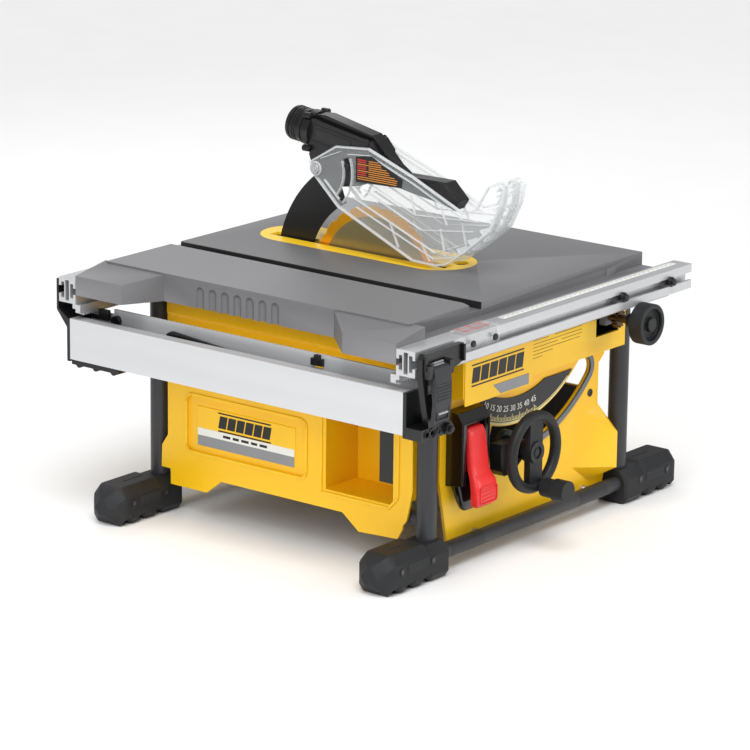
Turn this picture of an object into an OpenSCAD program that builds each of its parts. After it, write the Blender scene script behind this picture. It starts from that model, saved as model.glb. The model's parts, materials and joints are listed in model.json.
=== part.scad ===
// Compact cordless bench table saw with a rack-and-pinion rip fence.
// Origin: on the floor, midway between the four legs. +X is the operator's right, +Y points
// away from the operator and +Z is up. All lengths are in millimetres.

/* [Table] */
// Height of the table surface above the floor
table_z = 330; // [328:1:332]
// Width of the table, left to right
table_w = 485; // [483:1:487]
// Depth of the table, front to back
table_d = 483; // [481:1:485]
// Thickness of the table's top slab
slab_t = 8; // [7:0.5:8]
// Height of the table's side walls, slab included
skirt_h = 36; // [34:1:38]
// Width of the mitre slot
mitre_w = 19.1; // [19:0.1:19.5]
// Depth of the mitre slot
mitre_d = 9.5; // [9:0.5:10]

/* [Frame] */
// Distance between the left and right leg axes
leg_span_x = 404; // [403:1:405]
// Distance between the front and rear leg axes
leg_span_y = 430; // [429:1:431]
// Outer radius of a leg tube
leg_r = 12.7; // [12:0.1:12.8]
// Outer radius of a cross tube
cross_r = 9.5; // [9:0.5:9.5]
// Wall of the tubes
tube_wall = 1.8; // [1.5:0.1:2]
// Distance from a leg's axis to its foot's outer end
foot_out = 112; // [108:1:112]
// Distance from a leg's axis to its foot's inner end
foot_in = 14; // [13.8:0.1:15]
// Width of a foot, front to back
foot_w = 54; // [52:1:56]
// Height of a foot at the leg
foot_h = 50; // [49:1:52]

/* [Rails and fence] */
// Length of each rail
rail_len = 579; // [575:1:580]
// Depth of a rail's section, front to back
rail_d = 28; // [27.5:0.5:28]
// Height of the rail's top face above the floor
rail_top = 314; // [313.5:0.5:314]
// Module of the rack and its pinions
rack_m = 1.5; // [1.5]
// Teeth on each pinion
pinion_n = 14; // [14]
// Radius of the rail adjustment knob
knob_r = 26.5; // [25:0.5:27]

/* [Blade] */
// Radius of the saw blade
blade_r = 105; // [104:1:105]
// Height of the blade above the table at rest
blade_up = 65; // [64:1:65]
// Thickness of the blade's plate
blade_t = 1.8; // [1.6:0.1:1.8]
// Teeth on the blade
blade_teeth = 24; // [24]
// Radius at which the height shaft runs round the bevel pivot
shaft_ring_r = 204; // [203:1:205]
// Angle of the height shaft from straight down, towards the left
shaft_ang = 10.8; // [10:0.1:11]
// Radius of the height wheel
wheel_r = 52.5; // [50:0.5:52.5]

/* [Hidden] */
$fn = 64;

fit_gap = 0.05;   // radial clearance of a running fit
gap = 0.4;        // clearance between neighbours that only pass each other
big = 1000;       // longer than the saw, for cutters

leg_x = leg_span_x / 2;
leg_y = leg_span_y / 2;

// table
table_l = -264;
table_r = table_l + table_w;
table_f = -233;
table_b = table_f + table_d;
skirt_t = 4;
slab_bot = table_z - slab_t;
skirt_bot = table_z - skirt_h;
ledge_z = rail_top - 1;
corner_l = -314;
mitre_x = -131;

// throat opening and its plate: a long slot with round ends
throat_x = 10;
throat_r = 48;
throat_y0 = -68;
throat_y1 = 165;
throat_lip = 5;
throat_t = 4;
blade_slot_x0 = -15;
blade_slot_x1 = 3;

// rails
rail_x0 = -314;
rail_y_front = -252;
rail_y_rear = 257;
rail_bot = rail_top - 32;
flange_bot = 276;
rack_w = 8;
pitch_r = rack_m * pinion_n / 2;
pinion_x = 149;
pinion_z = 259;
rack_pitch_z = pinion_z + pitch_r;
guide_xs = [35, 175];
guide_len = 36;
pinion_shaft_r = 5;
hanger_ys = [-226, 236];
hanger_t = 10;
knob_y0 = -301;
knob_y1 = -281;

// stowed fence
fence_x = -314;
fence_y0 = -263;
fence_y1 = 267;
fence_z0 = 209.5;
fence_z1 = 262.5;
beam_x = -274;
beam_top = 273;
latch_z = 290;
latch_out = rail_d + 14;   // latch pin, outwards from the rail's inner face
latch_pin_r = 2.5;
arm_out = 3;              // air between the rail and the fence head's arm
arm_t = 8;

// blade, bevel pivot and height shaft
pivot_x = -9;
pivot_z = table_z;
blade_y = 18;
blade_z = table_z + blade_up - blade_r;
shaft_x = pivot_x - shaft_ring_r * sin(shaft_ang);
shaft_z = pivot_z - shaft_ring_r * cos(shaft_ang);
shaft_r = 5;
wheel_y0 = -270;
wheel_y1 = -254;
crank_dx = 11;
crank_dz = -46;
crank_r = 14;
crank_end_y = -308;

// arc guides of the bevel carriage
arc_in = 50;
arc_out = 62;
bracket_r = 72;
bracket_hub_r = 42;
plate_front_y = [-127, -121];
plate_rear_y = [176, 182];
bracket_t = 8;
shoe_t = 5;
shoe_end = 33;    // degrees right of straight down, clear of the slab when tilted
rod_r = 6;
rod_front = [-74, -106];
rod_rear = [-58, 165];
screw_xy = [shaft_x, -106];
screw_r = 5;
foot_plate_z = [100, 112];
rod_top_z = [304, 310];

// lift carriage and drive
lift_x = [-62, -54];
lift_z = [225, 300];
motor_y = 75;
motor_z = 240;
motor_r = 38;
motor_len = 90;
arbor_r = 8;
flange_r = 24;

// housing
wall = 4;
front_y = -208;
band_y = -232;
left_x = -214;
right_x = 182;
rear_y = 192;
wall_top = 313.6;
band_top = skirt_bot - gap;
band_bot = 207;
lug_y = -228;
slot_in = 182;
slot_out = 215;
slot_shift = 6;
slot_end = 45;    // degrees from straight down to the middle of the slot's round end
scale_in = 146;
scale_out = 177;
bay = [[-150, -172, 82], [-64, 105, 110]];  // corner and size of the battery bay
port_x = 40;
port_z = 112;
port_r = 31;
port_bore = 28.5;

// switch
switch_x = [-156, -100];
switch_z = [100, 196];
switch_y = -233;
paddle_pin = [-222, 172];
paddle_pin_r = 3;
button_x = -129;
button_z = 140;
button_r = 9;

// guard
guard_x = [-27, 9];
shield_x = [-32.5, 12.1];
shield_t = 2.4;
hinge_yz = [99, 433];
hinge_r = 4;
knife_in = 110;
knife_out = 163;
knife_t = 1.8;
arc_pin_r = 51;
arc_pin_ang = 168.7;
duct_yz = [152, 482.6];
duct_fall = 8;    // degrees that the guard's dust duct falls towards the front
duct_bore = 17.5;

nose_len = 18;      // length of a foot's tapered outer end
foot_low_u = 24;    // the top is lower from the leg out to here
foot_drop = 4;
foot_screw_us = [80, 19];
foot_screw_z = 28;
bolt_xz = [[-96, 27], [136, 28]];

// ---------- helpers ----------
// a block between two corners
module block(a, b) translate(a) cube(b - a);

// a cylinder along X, from x0 to x1
module rod_x(x0, x1, r, y, z) translate([x0, y, z]) rotate([0, 90, 0]) cylinder(h = x1 - x0, r = r);

// a cylinder along Y, from y0 to y1
module rod_y(y0, y1, r, x, z) translate([x, y0, z]) rotate([-90, 0, 0]) cylinder(h = y1 - y0, r = r);

// a cylinder along Z, from z0 to z1
module rod_z(z0, z1, r, x, y) translate([x, y, z0]) cylinder(h = z1 - z0, r = r);

// extrudes an outline drawn in X and Z, from y0 to y1
module slab_y(y0, y1) translate([0, y1, 0]) rotate([90, 0, 0]) linear_extrude(y1 - y0) children();

// extrudes an outline drawn in Y and Z, from x0 to x1
module slab_x(x0, x1)
    translate([x0, 0, 0]) rotate([90, 0, 90]) linear_extrude(x1 - x0) children();

// a rectangle with round corners
module round_rect(a, b, r) {
    translate(a + [r, 0]) square(b - a - [2 * r, 0]);
    translate(a + [0, r]) square(b - a - [0, 2 * r]);
    for (x = [a[0] + r, b[0] - r], y = [a[1] + r, b[1] - r]) translate([x, y]) circle(r);
}

// a wedge of radius r about the origin, between two angles from straight down, positive right
module wedge(r, a0, a1) {
    step = (a1 - a0) / 8;
    polygon(concat([[0, 0]], [for (i = [0:8]) 2 * r * [sin(a0 + i * step), -cos(a0 + i * step)]]));
}

// a ring sector below the bevel pivot, in X and Z
module pivot_arc(r0, r1, a0, a1, shift = 0) translate([pivot_x, pivot_z]) intersection() {
    difference() {
        translate([-shift, 0]) circle(r1, $fn = 180);
        circle(r0, $fn = 180);
    }
    wedge(r1, a0, a1);
}

// an upright tube
module leg_tube(x, y) color("dimgray") difference() {
    rod_z(18, slab_bot, leg_r, x, y);
    rod_z(0, table_z, leg_r - tube_wall, x, y);
}

// ---------- table ----------
module throat_outline(grow = 0) {
    for (y = [throat_y0, throat_y1]) translate([throat_x, y]) circle(throat_r + grow);
    translate([throat_x - throat_r - grow, throat_y0])
        square([2 * (throat_r + grow), throat_y1 - throat_y0]);
}

// a left corner block: y_in is its end at the table's edge, y_out the end at its outer face
module corner_block(y_in, y_out, y_rail) intersection() {
    translate([0, 0, skirt_bot]) linear_extrude(skirt_h) polygon([[table_l + 6, y_in], [corner_l, y_out],
        [corner_l, y_rail], [table_l + 6, y_rail]]);
    // the top falls away outwards
    slab_y(-big, big) polygon([[corner_l, skirt_bot], [corner_l, table_z - 11], [table_l + 6, table_z - 1],
        [table_l + 6, skirt_bot]]);
}

module grip_scoops() for (i = [0:6])
    translate([table_l - 3, -26 + 20 * i, skirt_bot - 1]) {
        cylinder(h = 22, r = 7);
        translate([0, 0, 22]) sphere(7, $fn = 32);
    }

module table_top() color("darkgray") difference() {
    union() {
        block([table_l, table_f, slab_bot], [table_r, table_b, table_z]);
        difference() {
            block([table_l, table_f, skirt_bot], [table_r, table_b, table_z]);
            block([table_l + skirt_t, table_f + skirt_t, 0],
                [table_r - skirt_t, table_b - skirt_t, slab_bot]);
        }
        // grip wall, thick enough for the scoops
        block([table_l, -60, skirt_bot], [table_l + 12, 130, table_z]);
        // ledges that close the gap to the rails
        block([table_l, rail_y_front + gap, ledge_z - 8], [table_r, table_f, ledge_z]);
        block([table_l, table_b, ledge_z - 8], [table_r, rail_y_rear - gap, ledge_z]);
        corner_block(150, 180, rail_y_rear - gap);
        corner_block(-112, -171, rail_y_front + gap);
        // boss below the mitre slot
        block([mitre_x - 14, table_f, table_z - 15], [mitre_x + 14, table_b, slab_bot]);
        // stiffening ribs
        for (y = [-172, 232])
            block([table_l + skirt_t, y, slab_bot - 8], [table_r - skirt_t, y + 4, slab_bot]);
        // hangers for the pinion shaft
        for (y = hanger_ys)
            block([pinion_x - 10, y - hanger_t, pinion_z - 10], [pinion_x + 10, y, slab_bot]);
    }
    translate([0, 0, table_z - throat_t]) linear_extrude(20) throat_outline();
    linear_extrude(table_z) throat_outline(-throat_lip);
    block([mitre_x - mitre_w / 2, -big, table_z - mitre_d], [mitre_x + mitre_w / 2, big, table_z + 1]);
    // angled notch where the slot runs out at the front
    translate([mitre_x - mitre_w / 2, table_f, table_z - mitre_d])
        linear_extrude(mitre_d + 1) polygon([[0, 14], [-9, -5], [0, -5]]);
    grip_scoops();
    for (y = hanger_ys) rod_y(y - hanger_t - 1, y + 1, pinion_shaft_r + fit_gap, pinion_x, pinion_z);
}

module throat_plate() color("gold") difference() {
    translate([0, 0, table_z - throat_t]) linear_extrude(throat_t) throat_outline(-0.3);
    block([blade_slot_x0, -95, 0], [blade_slot_x1, 190, big]);
    translate([20, -94, 0]) cylinder(h = big, r = 10);
}

// half-round bracket below the table, with the groove that the carriage's shoe runs in
module trunnion(y0, groove_y0) difference() {
    slab_y(y0, y0 + bracket_t) intersection() {
        pivot_arc(bracket_hub_r, bracket_r, -89, 89);
        translate([-big, 0]) square([2 * big, slab_bot]);
    }
    slab_y(groove_y0, groove_y0 + shoe_t + 0.5) pivot_arc(arc_in, arc_out, -89, 89);
}

module trunnions() color("slategray") {
    trunnion(plate_front_y[0] - bracket_t - 0.5, plate_front_y[0] - shoe_t - 0.5);
    trunnion(plate_rear_y[1] + 0.5, plate_rear_y[1]);
}

// ---------- rails ----------
// the section of a rail: x runs outwards from the inner face, y is the height
module rail_section() difference() {
    union() {
        translate([0, rail_bot]) square([rail_d, rail_top - rail_bot]);
        translate([0, flange_bot]) square([5, rail_bot - flange_bot]);
    }
    translate([-1, 294]) square([5, 8]);
    translate([3.9, 289]) square([5.1, 18]);
    translate([rail_d - 4, 293]) square([5, 10]);
    translate([rail_d - 9, 288]) square([5.1, 20]);
    translate([11, 285]) square([6, 26]);
}

// a rack whose teeth point down, drawn in X and Z; a tooth gap is centred on the pinion
module rack_outline() {
    pitch = PI * rack_m;
    first = -floor((pinion_x - rail_x0) / pitch) + 1;
    last = floor((rail_x0 + rail_len - pinion_x) / pitch) - 2;
    add = rack_m;
    ded = 1.25 * rack_m;
    slope = tan(20);
    half = pitch / 4 - 0.05;
    teeth = [for (i = [first:last]) let (x = pinion_x + (i + 0.5) * pitch) each [
        [x - half - ded * slope, rack_pitch_z + ded], [x - half + add * slope, rack_pitch_z - add],
        [x + half - add * slope, rack_pitch_z - add], [x + half + ded * slope, rack_pitch_z + ded]]];
    polygon(concat(teeth, [[rail_x0 + rail_len, rack_pitch_z + ded], [rail_x0 + rail_len, rail_bot],
        [rail_x0, rail_bot], [rail_x0, rack_pitch_z + ded]]));
}

module rail(y_in, side) color("gainsboro") {
    translate([rail_x0, y_in, 0]) rotate([90, 0, 90]) linear_extrude(rail_len)
        scale([side, 1]) rail_section();
    slab_y(side > 0 ? y_in - rack_w : y_in, side > 0 ? y_in : y_in + rack_w) rack_outline();
}

module rail_front() rail(rail_y_front, -1);
module rail_rear() rail(rail_y_rear, 1);

// shoes bolted to the table's front and rear walls, with a tee that runs in the rail's groove
module rail_guide(x, y_wall, y_in) color("black") {
    side = y_in > y_wall ? 1 : -1;
    y_mid = y_in - side * gap;
    block([x, min(y_wall, y_mid), 294 + gap], [x + guide_len, max(y_wall, y_mid), 302 - gap]);
    y_neck = y_in + side * 4.4;
    block([x, min(y_mid, y_neck), 294 + gap], [x + guide_len, max(y_mid, y_neck), 302 - gap]);
    y_head = y_in + side * 8.4;
    block([x, min(y_neck, y_head), 289 + gap], [x + guide_len, max(y_neck, y_head), 307 - gap]);
}

module rail_guides() for (x = guide_xs) {
    rail_guide(x, table_f, rail_y_front);
    rail_guide(x, table_b, rail_y_rear);
}

// clear window over the front rail, with its foot in the rail's outer groove
module scale_cursor() color("lightcyan") difference() {
    union() {
        block([-216, rail_y_front - rail_d - 3, 296], [-152, rail_y_front - rail_d, 317]);
        block([-216, rail_y_front - rail_d, rail_top], [-152, rail_y_front - 4, 317]);
    }
    for (x = [-206, -162]) rod_y(-300, -270, 2.5, x, 303);
}

// a pinion with involute-like flanks: each flank runs from root to tip in three steps
module pinion_outline() {
    tooth = 360 / pinion_n;
    radii = [pitch_r - 1.2 * rack_m, pitch_r - 0.5 * rack_m, pitch_r, pitch_r + 0.55 * rack_m,
        pitch_r + 0.95 * rack_m];
    // half of the tooth's angle at each of those radii
    halves = [7.6, 7.1, 6.1, 4.4, 2.6];
    n = len(radii) - 1;
    polygon([for (k = [0:pinion_n - 1]) each concat(
        [for (i = [0:n]) radii[i] * [sin(k * tooth - halves[i]), cos(k * tooth - halves[i])]],
        [for (i = [n:-1:0]) radii[i] * [sin(k * tooth + halves[i]), cos(k * tooth + halves[i])]])]);
}

module pinion_shaft() color("silver") {
    rod_y(rail_y_front - 12, rail_y_rear, pinion_shaft_r, pinion_x, pinion_z);
    for (y = [rail_y_front, rail_y_rear - rack_w])
        slab_y(y, y + rack_w) translate([pinion_x, pinion_z]) pinion_outline();
}

module rail_knob() color("dimgray") difference() {
    union() {
        rod_y(knob_y0, knob_y1, knob_r, pinion_x, pinion_z);
        rod_y(knob_y1, rail_y_front - 12, 9, pinion_x, pinion_z);
    }
    difference() {
        rod_y(knob_y0 - 1, knob_y0 + 6, knob_r - 6, pinion_x, pinion_z);
        rod_y(knob_y0 - 1, knob_y0 + 6, 9, pinion_x, pinion_z);
    }
}

// ---------- stowed fence ----------
module fence_face() color("white") difference() {
    block([fence_x, fence_y0, fence_z0], [fence_x + 16, fence_y1, fence_z1]);
    block([fence_x + 3.5, fence_y0 - 1, fence_z0 + 3], [fence_x + 17, fence_y1 + 1, fence_z1 - 3]);
}

module fence_beam() color("lightgray") difference() {
    block([fence_x + 16, fence_y0, fence_z0], [beam_x + 3, fence_y1, beam_top]);
    block([fence_x + 15, fence_y0 - 1, fence_z0 + 3], [beam_x, fence_y1 + 1, beam_top + 1]);
    // its inner wall is cut down at the ends to pass below the racks
    for (y = [[-big, -243], [228, big]])
        block([fence_x + 15, y[0], fence_z1 + 4], [beam_x + 4, y[1], beam_top + 1]);
    // window near the rear end, and one for the clip of the push stick
    slab_x(beam_x - 1, beam_x + 4) translate([222, 259]) circle(4);
    block([beam_x - 1, -110, beam_top - 18], [beam_x + 4, -96, beam_top - 6]);
}

// plate that closes an end of the fence
module fence_cap(y0, y1) block([fence_x, y0, fence_z0 - 3], [beam_x + 24, y1, 262]);

// front head: an arm outside the rail carries the latch
module fence_head_front() color("black") {
    y_arm = rail_y_front - rail_d - arm_out;
    y_out = y_arm - arm_t;
    difference() {
        union() {
            fence_cap(fence_y0 - 5, fence_y0);
            // lower bar
            block([fence_x, y_out, fence_z0 - 3], [fence_x + 58, fence_y0 - 5, fence_z0 + 11]);
            slab_y(y_out, y_arm)
                polygon([[fence_x + 14, fence_z0 + 11], [fence_x + 54, fence_z0 + 11], [fence_x + 52, 256],
                    [fence_x + 58, 284], [fence_x + 80, 290], [fence_x + 80, rail_top - 2],
                    [fence_x + 6, rail_top - 2], [fence_x, rail_top - 8], [fence_x, 284], [fence_x + 6, 256]]);
            // lugs that hold the latch pin
            for (x = [fence_x + 3, fence_x + 43])
                block([x, y_out - 8, latch_z - 7], [x + 8, y_out, latch_z + 9]);
            // ribs on the arm
            for (x = [fence_x + 2, fence_x + 76])
                block([x, y_out - 4, 291], [x + 3, y_out, rail_top - 3]);
        }
        // window that the latch lever hangs in
        block([fence_x + 11, -big, 262], [fence_x + 43, big, 302]);
        rod_x(fence_x + 2, fence_x + 53, latch_pin_r + fit_gap, rail_y_front - latch_out, latch_z);
        for (x = [fence_x + 10, fence_x + 21, fence_x + 48]) rod_y(-big, big, 3, x, fence_z0 + 4);
    }
}

// rear head: a thin hook round the outside of the rail, and a foot below the fence
module fence_head_rear() color("black") {
    y_arm = rail_y_rear + rail_d + 1;
    fence_cap(fence_y1, fence_y1 + 5);
    slab_x(fence_x, fence_x + 60) polygon([[fence_y1, fence_z1 - 12], [fence_y1, fence_z1 - 3],
        [y_arm, flange_bot - 3], [y_arm, rail_top - 3], [y_arm + 3, rail_top - 3],
        [y_arm + 3, flange_bot - 5], [fence_y1 + 5, fence_z1 - 12]]);
    // cover over the fence's rear end
    block([beam_x - 8, 231, fence_z1 - 4], [beam_x - 3, 247, flange_bot - 4]);
    block([beam_x - 8, 246, fence_z1 - 4], [beam_x - 3, fence_y1, fence_z1 + 2]);
    block([fence_x + 3, fence_y1 - 78, fence_z0 - 7], [fence_x + 60, fence_y1, fence_z0]);
    for (y = [fence_y1 - 70, fence_y1 - 40, fence_y1 - 12])
        rod_x(fence_x + 3, fence_x + 60, 5, y, fence_z0 - 5);
}

module push_stick() color("black") slab_x(fence_x + 20, fence_x + 26)
    polygon([[-120, 222], [8, 258], [117, 267], [124, 263], [126, 250], [112, 242], [60, 234], [-100, 213],
        [-112, 213]]);

// ---------- latch ----------
module latch_front() color("dimgray") translate([fence_x, rail_y_front - latch_out, latch_z]) {
    rod_x(3, 51, latch_pin_r, 0, 0);
    rod_x(12, 42, 6, 0, 0);
    slab_x(12, 42) polygon([[1, 0], [-5, 4], [-9, -14], [-9, -38], [-6, -62], [-1, -62], [-3, -38]]);
}

// ---------- frame ----------
module leg_front_left() leg_tube(-leg_x, -leg_y);
module leg_front_right() leg_tube(leg_x, -leg_y);
module leg_rear_left() leg_tube(-leg_x, leg_y);
module leg_rear_right() leg_tube(leg_x, leg_y);

module tube_cross(y) color("dimgray") difference() {
    rod_x(-leg_x + foot_in, leg_x - foot_in, cross_r, y, 26);
    rod_x(-leg_x, leg_x, cross_r - tube_wall, y, 26);
}

module tube_front() tube_cross(-leg_y - 9);
module tube_rear() tube_cross(leg_y + 9);

module tube_side(side) color("dimgray") difference() {
    rod_y(-leg_y, leg_y, cross_r, side * (leg_x - 2), 68);
    rod_y(-big, big, cross_r - tube_wall, side * (leg_x - 2), 68);
    for (y = [-leg_y, leg_y]) rod_z(0, table_z, leg_r + fit_gap, side * leg_x, y);
}

module tube_left() tube_side(-1);
module tube_right() tube_side(1);

// a foot about its own leg's axis: u, its X here, runs outwards
module foot_section(top) {
    half = foot_w / 2;
    polygon([[-half, 8], [-half + 6, 0], [half - 6, 0], [half, 8], [half, top - 13], [half - 10, top],
        [-half + 10, top], [-half, top - 13]]);
}

// the outer end tapers on every side
module foot_nose() hull() {
    slab_x(foot_out - nose_len, foot_out - nose_len + 1) foot_section(foot_h);
    block([foot_out - 1, -13, 13], [foot_out, 13, foot_h - 14]);
}

module foot_local() difference() {
    intersection() {
        union() {
            // lower round the leg, then a short rise to the full height
            slab_x(-foot_in, foot_low_u) foot_section(foot_h - foot_drop);
            hull() {
                slab_x(foot_low_u - 1, foot_low_u) foot_section(foot_h - foot_drop);
                slab_x(foot_low_u + 7, foot_low_u + 8) foot_section(foot_h);
            }
            slab_x(foot_low_u + 7, foot_out - nose_len + 1) foot_section(foot_h);
            foot_nose();
        }
        linear_extrude(foot_h) round_rect([-foot_in, -foot_w / 2], [foot_out, foot_w / 2], 6);
    }
    // scallops between the four pads
    for (u = [30, 62, 90]) rod_y(-foot_w, foot_w, 9, u, -3);
    rod_z(18, big, leg_r + fit_gap, 0, 0);
    for (u = foot_screw_us, side = [-1, 1])
        translate([u, side * (foot_w / 2 - 2), foot_screw_z]) rotate([90, 0, 0])
            cylinder(h = 7, r = 5, center = true);
}

module foot(sx, sy) color("dimgray") translate([sx * leg_x, sy * leg_y, 0])
    mirror([sx < 0 ? 1 : 0, 0, 0]) foot_local();

module foot_front_left() foot(-1, -1);
module foot_front_right() foot(1, -1);
module foot_rear_left() foot(-1, 1);
module foot_rear_right() foot(1, 1);

module frame_screws() color("silver") {
    for (sx = [-1, 1], sy = [-1, 1], u = foot_screw_us, side = [-1, 1]) {
        y = sy * leg_y + side * (foot_w / 2 - 5.5);
        rod_y(min(y, y + side * 3), max(y, y + side * 3), 4.5, sx * (leg_x + u), foot_screw_z);
    }
    for (b = bolt_xz) rod_y(front_y - 3, front_y, 5, b[0], b[1]);
}

// ---------- housing ----------
module slot_outline(grow = 0) {
    pivot_arc(slot_in - grow, slot_out + grow, -17, slot_end, slot_shift);
    end_r = (slot_out - slot_shift * sin(slot_end) - slot_in) / 2;
    translate([pivot_x, pivot_z]) rotate(slot_end) translate([0, -slot_in - end_r]) circle(end_r + grow);
}

module front_outline() polygon([[-168, band_top], [-168, 108], [-151, 26], [-142, 20], [150, 20], [180, 24],
    [184, 40], [183, 104], [166, 137], [166, 190], [178, 200], [178, band_top]]);

// the lower right corner bulges forward towards the leg; t is taken off its outside
module front_lug(t) hull() {
    slab_y(front_y, front_y + 1) polygon([[112 + t, 62], [146, 38 + t], [184 - t, 40 + t],
        [184 - t, 106 - t], [166, 136 - t], [138, 128]]);
    slab_y(lug_y + t, lug_y + t + 1) polygon([[168 + t, 54 + t], [184 - t, 50 + t], [184 - t, 98 - t],
        [172 + t, 106 - t]]);
}

module front_band(t) translate([-155 + t, 0, 0]) rotate([90, 0, 90]) linear_extrude(343.5 - 2 * t)
    polygon([[front_y + wall + t, band_top + t], [band_y + t, band_top + t], [band_y + t, 214 + t],
        [front_y, band_bot + t], [front_y + wall + t, band_bot + t]]);

module housing_front() color("gold") difference() {
    union() {
        slab_y(front_y, front_y + wall) front_outline();
        // raised band that carries the name plates, sloped below
        front_band(0);
        front_lug(0);
    }
    // the band and the corner are shells
    front_band(wall);
    translate([0, 1, 0]) front_lug(3);
    slab_y(-big, big) slot_outline();
    // notch for the pinion shaft
    block([pinion_x - 25, -big, 236], [pinion_x + 25, 0, big]);
    // window for the switch
    block([switch_x[0] + 5.5, -big, switch_z[0] + 7.5], [switch_x[1] - 5.5, 0, switch_z[1] - 9.5]);
}

// cut away around the feet
module left_outline() polygon([[192, wall_top], [192, 103], [202, 88], [203, 58.4], [187.6, 58.4],
    [187.6, 38], [127, 38], [103, 57], [-93, 57], [-119, 37], [-180, 40], [-187.6, 54], [-187.6, 58.4],
    [-194, 66], [-202, 104], [-200, wall_top]]);

module housing_left() color("gold") {
    difference() {
        slab_x(left_x, left_x + wall) left_outline();
        block([left_x - 1, bay[0][1], bay[0][2]], [0, bay[0][1] + bay[1][1], bay[0][2] + bay[1][2]]);
        // recess for the side label
        block([left_x - 1, -34, 90], [left_x + 2.5, 158, 162]);
    }
    // raised label plate
    block([left_x + 1, -17, 98], [left_x + 2.5, 143, 150]);
    // proud rim below the table
    slab_y(-160, 186) polygon([[left_x, 262], [left_x - 8, 266], [left_x - 8, skirt_bot - gap],
        [left_x, wall_top], [left_x + 1, 262]]);
    // battery bay, open to the left
    difference() {
        block([left_x + wall, bay[0][1] - 3, bay[0][2] - 3],
            [bay[0][0] + 3, bay[0][1] + bay[1][1] + 3, bay[0][2] + bay[1][2] + 3]);
        block([left_x, bay[0][1], bay[0][2]], [bay[0][0], bay[0][1] + bay[1][1], bay[0][2] + bay[1][2]]);
    }
}

module housing_right() color("gold") difference() {
    slab_x(right_x - wall, right_x) polygon([[rear_y, wall_top], [rear_y, 44], [160, 38], [-170, 38],
        [-195, 60], [-195, wall_top]]);
    // cooling slots
    for (i = [0:7]) slab_x(right_x - wall - 1, right_x + 1)
        round_rect([-60 + i * 16, 120], [-54 + i * 16, 190], 2.9);
    // opening beside the bevel slot
    slab_x(right_x - wall - 1, right_x + 1) round_rect([-192, 150], [-92, 226], 12);
}

module housing_rear() color("gold") difference() {
    slab_y(rear_y - wall, rear_y) polygon([[left_x + wall, wall_top], [left_x + wall, 80], [-187, 80],
        [-187, 44], [-150, 38], [150, 38], [right_x - wall, 44], [right_x - wall, wall_top]]);
    rod_y(-big, big, port_r + 0.2, port_x, port_z);
    block([pinion_x - 7, -big, 251], [pinion_x + 7, big, big]);
    // opening for the rear arc guide and carriage as they tilt
    slab_y(-big, big) pivot_arc(1, 100, -89, 89);
}

module bevel_scale() color("black") slab_y(front_y - 2, front_y) difference() {
    pivot_arc(scale_in, scale_out, -30, 41);
    translate([-big, 195]) square([2 * big, big]);
}

module slot_rim() color("gray") slab_y(front_y - 3, front_y) difference() {
    slot_outline(8);
    slot_outline(0.5);
    translate([pivot_x, pivot_z]) circle(slot_in + 0.5, $fn = 180);
    translate([-big, -big]) square([big + 20, 2 * big]);
    translate([-big, band_bot - gap]) square([2 * big, big]);
}

module switch_box() color("black") difference() {
    union() {
        slab_x(switch_x[0], switch_x[1])
            polygon([[front_y, switch_z[0]], [switch_y, switch_z[0] + 4], [switch_y, switch_z[1] - 14],
                [switch_y + 8, switch_z[1] - 2], [front_y, switch_z[1]]]);
        block([switch_x[0] + 6, front_y, switch_z[0] + 8],
            [switch_x[1] - 6, front_y + 24, switch_z[1] - 10]);
    }
    block([switch_x[0] + 9, -big, switch_z[0] - 1], [switch_x[1] - 9, front_y - 2, switch_z[1] - 14]);
    rod_x(switch_x[0] + 4, switch_x[1] - 4, paddle_pin_r + fit_gap, paddle_pin[0], paddle_pin[1]);
    rod_y(-big, front_y + 10, button_r + fit_gap, button_x, button_z);
}

module stop_paddle() color("red") difference() {
    union() {
        rod_x(switch_x[0] + 4.5, switch_x[1] - 4.5, paddle_pin_r, paddle_pin[0], paddle_pin[1]);
        rod_x(-145, -111, 7, paddle_pin[0], paddle_pin[1]);
        slab_x(-145, -111) polygon([[paddle_pin[0] - 7, 172], [-240, 120], [-240, 106], [-232, 106],
            [-232, 120], [paddle_pin[0] + 1, 172]]);
        slab_x(-151, -110) polygon([[-238, 118], [-246, 112], [-256, 100], [-256, 80], [-246, 75],
            [-239, 76], [-241, 92], [-238, 106]]);
    }
}

module start_button() color("green") {
    rod_y(front_y - 8, front_y + 5, button_r, button_x, button_z);
}

module control_module() color("darkslategray")
    block([left_x + wall, -40, 205], [-165, 60, 265]);

module battery_dock() color("black") difference() {
    union() {
        block([-196, bay[0][1], 110], [-150, bay[0][1] + 12, 184]);
        block([-208, bay[0][1], 106], [-190, bay[0][1] + 26, 180]);
    }
    for (z = [124, 146, 168]) block([-197, bay[0][1] + 6, z - 1.5], [-156, bay[0][1] + 13, z + 1.5]);
}

module dust_port() color("black") difference() {
    union() {
        rod_y(rear_y - wall, -crank_end_y, port_r, port_x, port_z);
        rod_y(rear_y, rear_y + 4, port_r + 8, port_x, port_z);
    }
    rod_y(0, big, port_bore, port_x, port_z);
}

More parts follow.
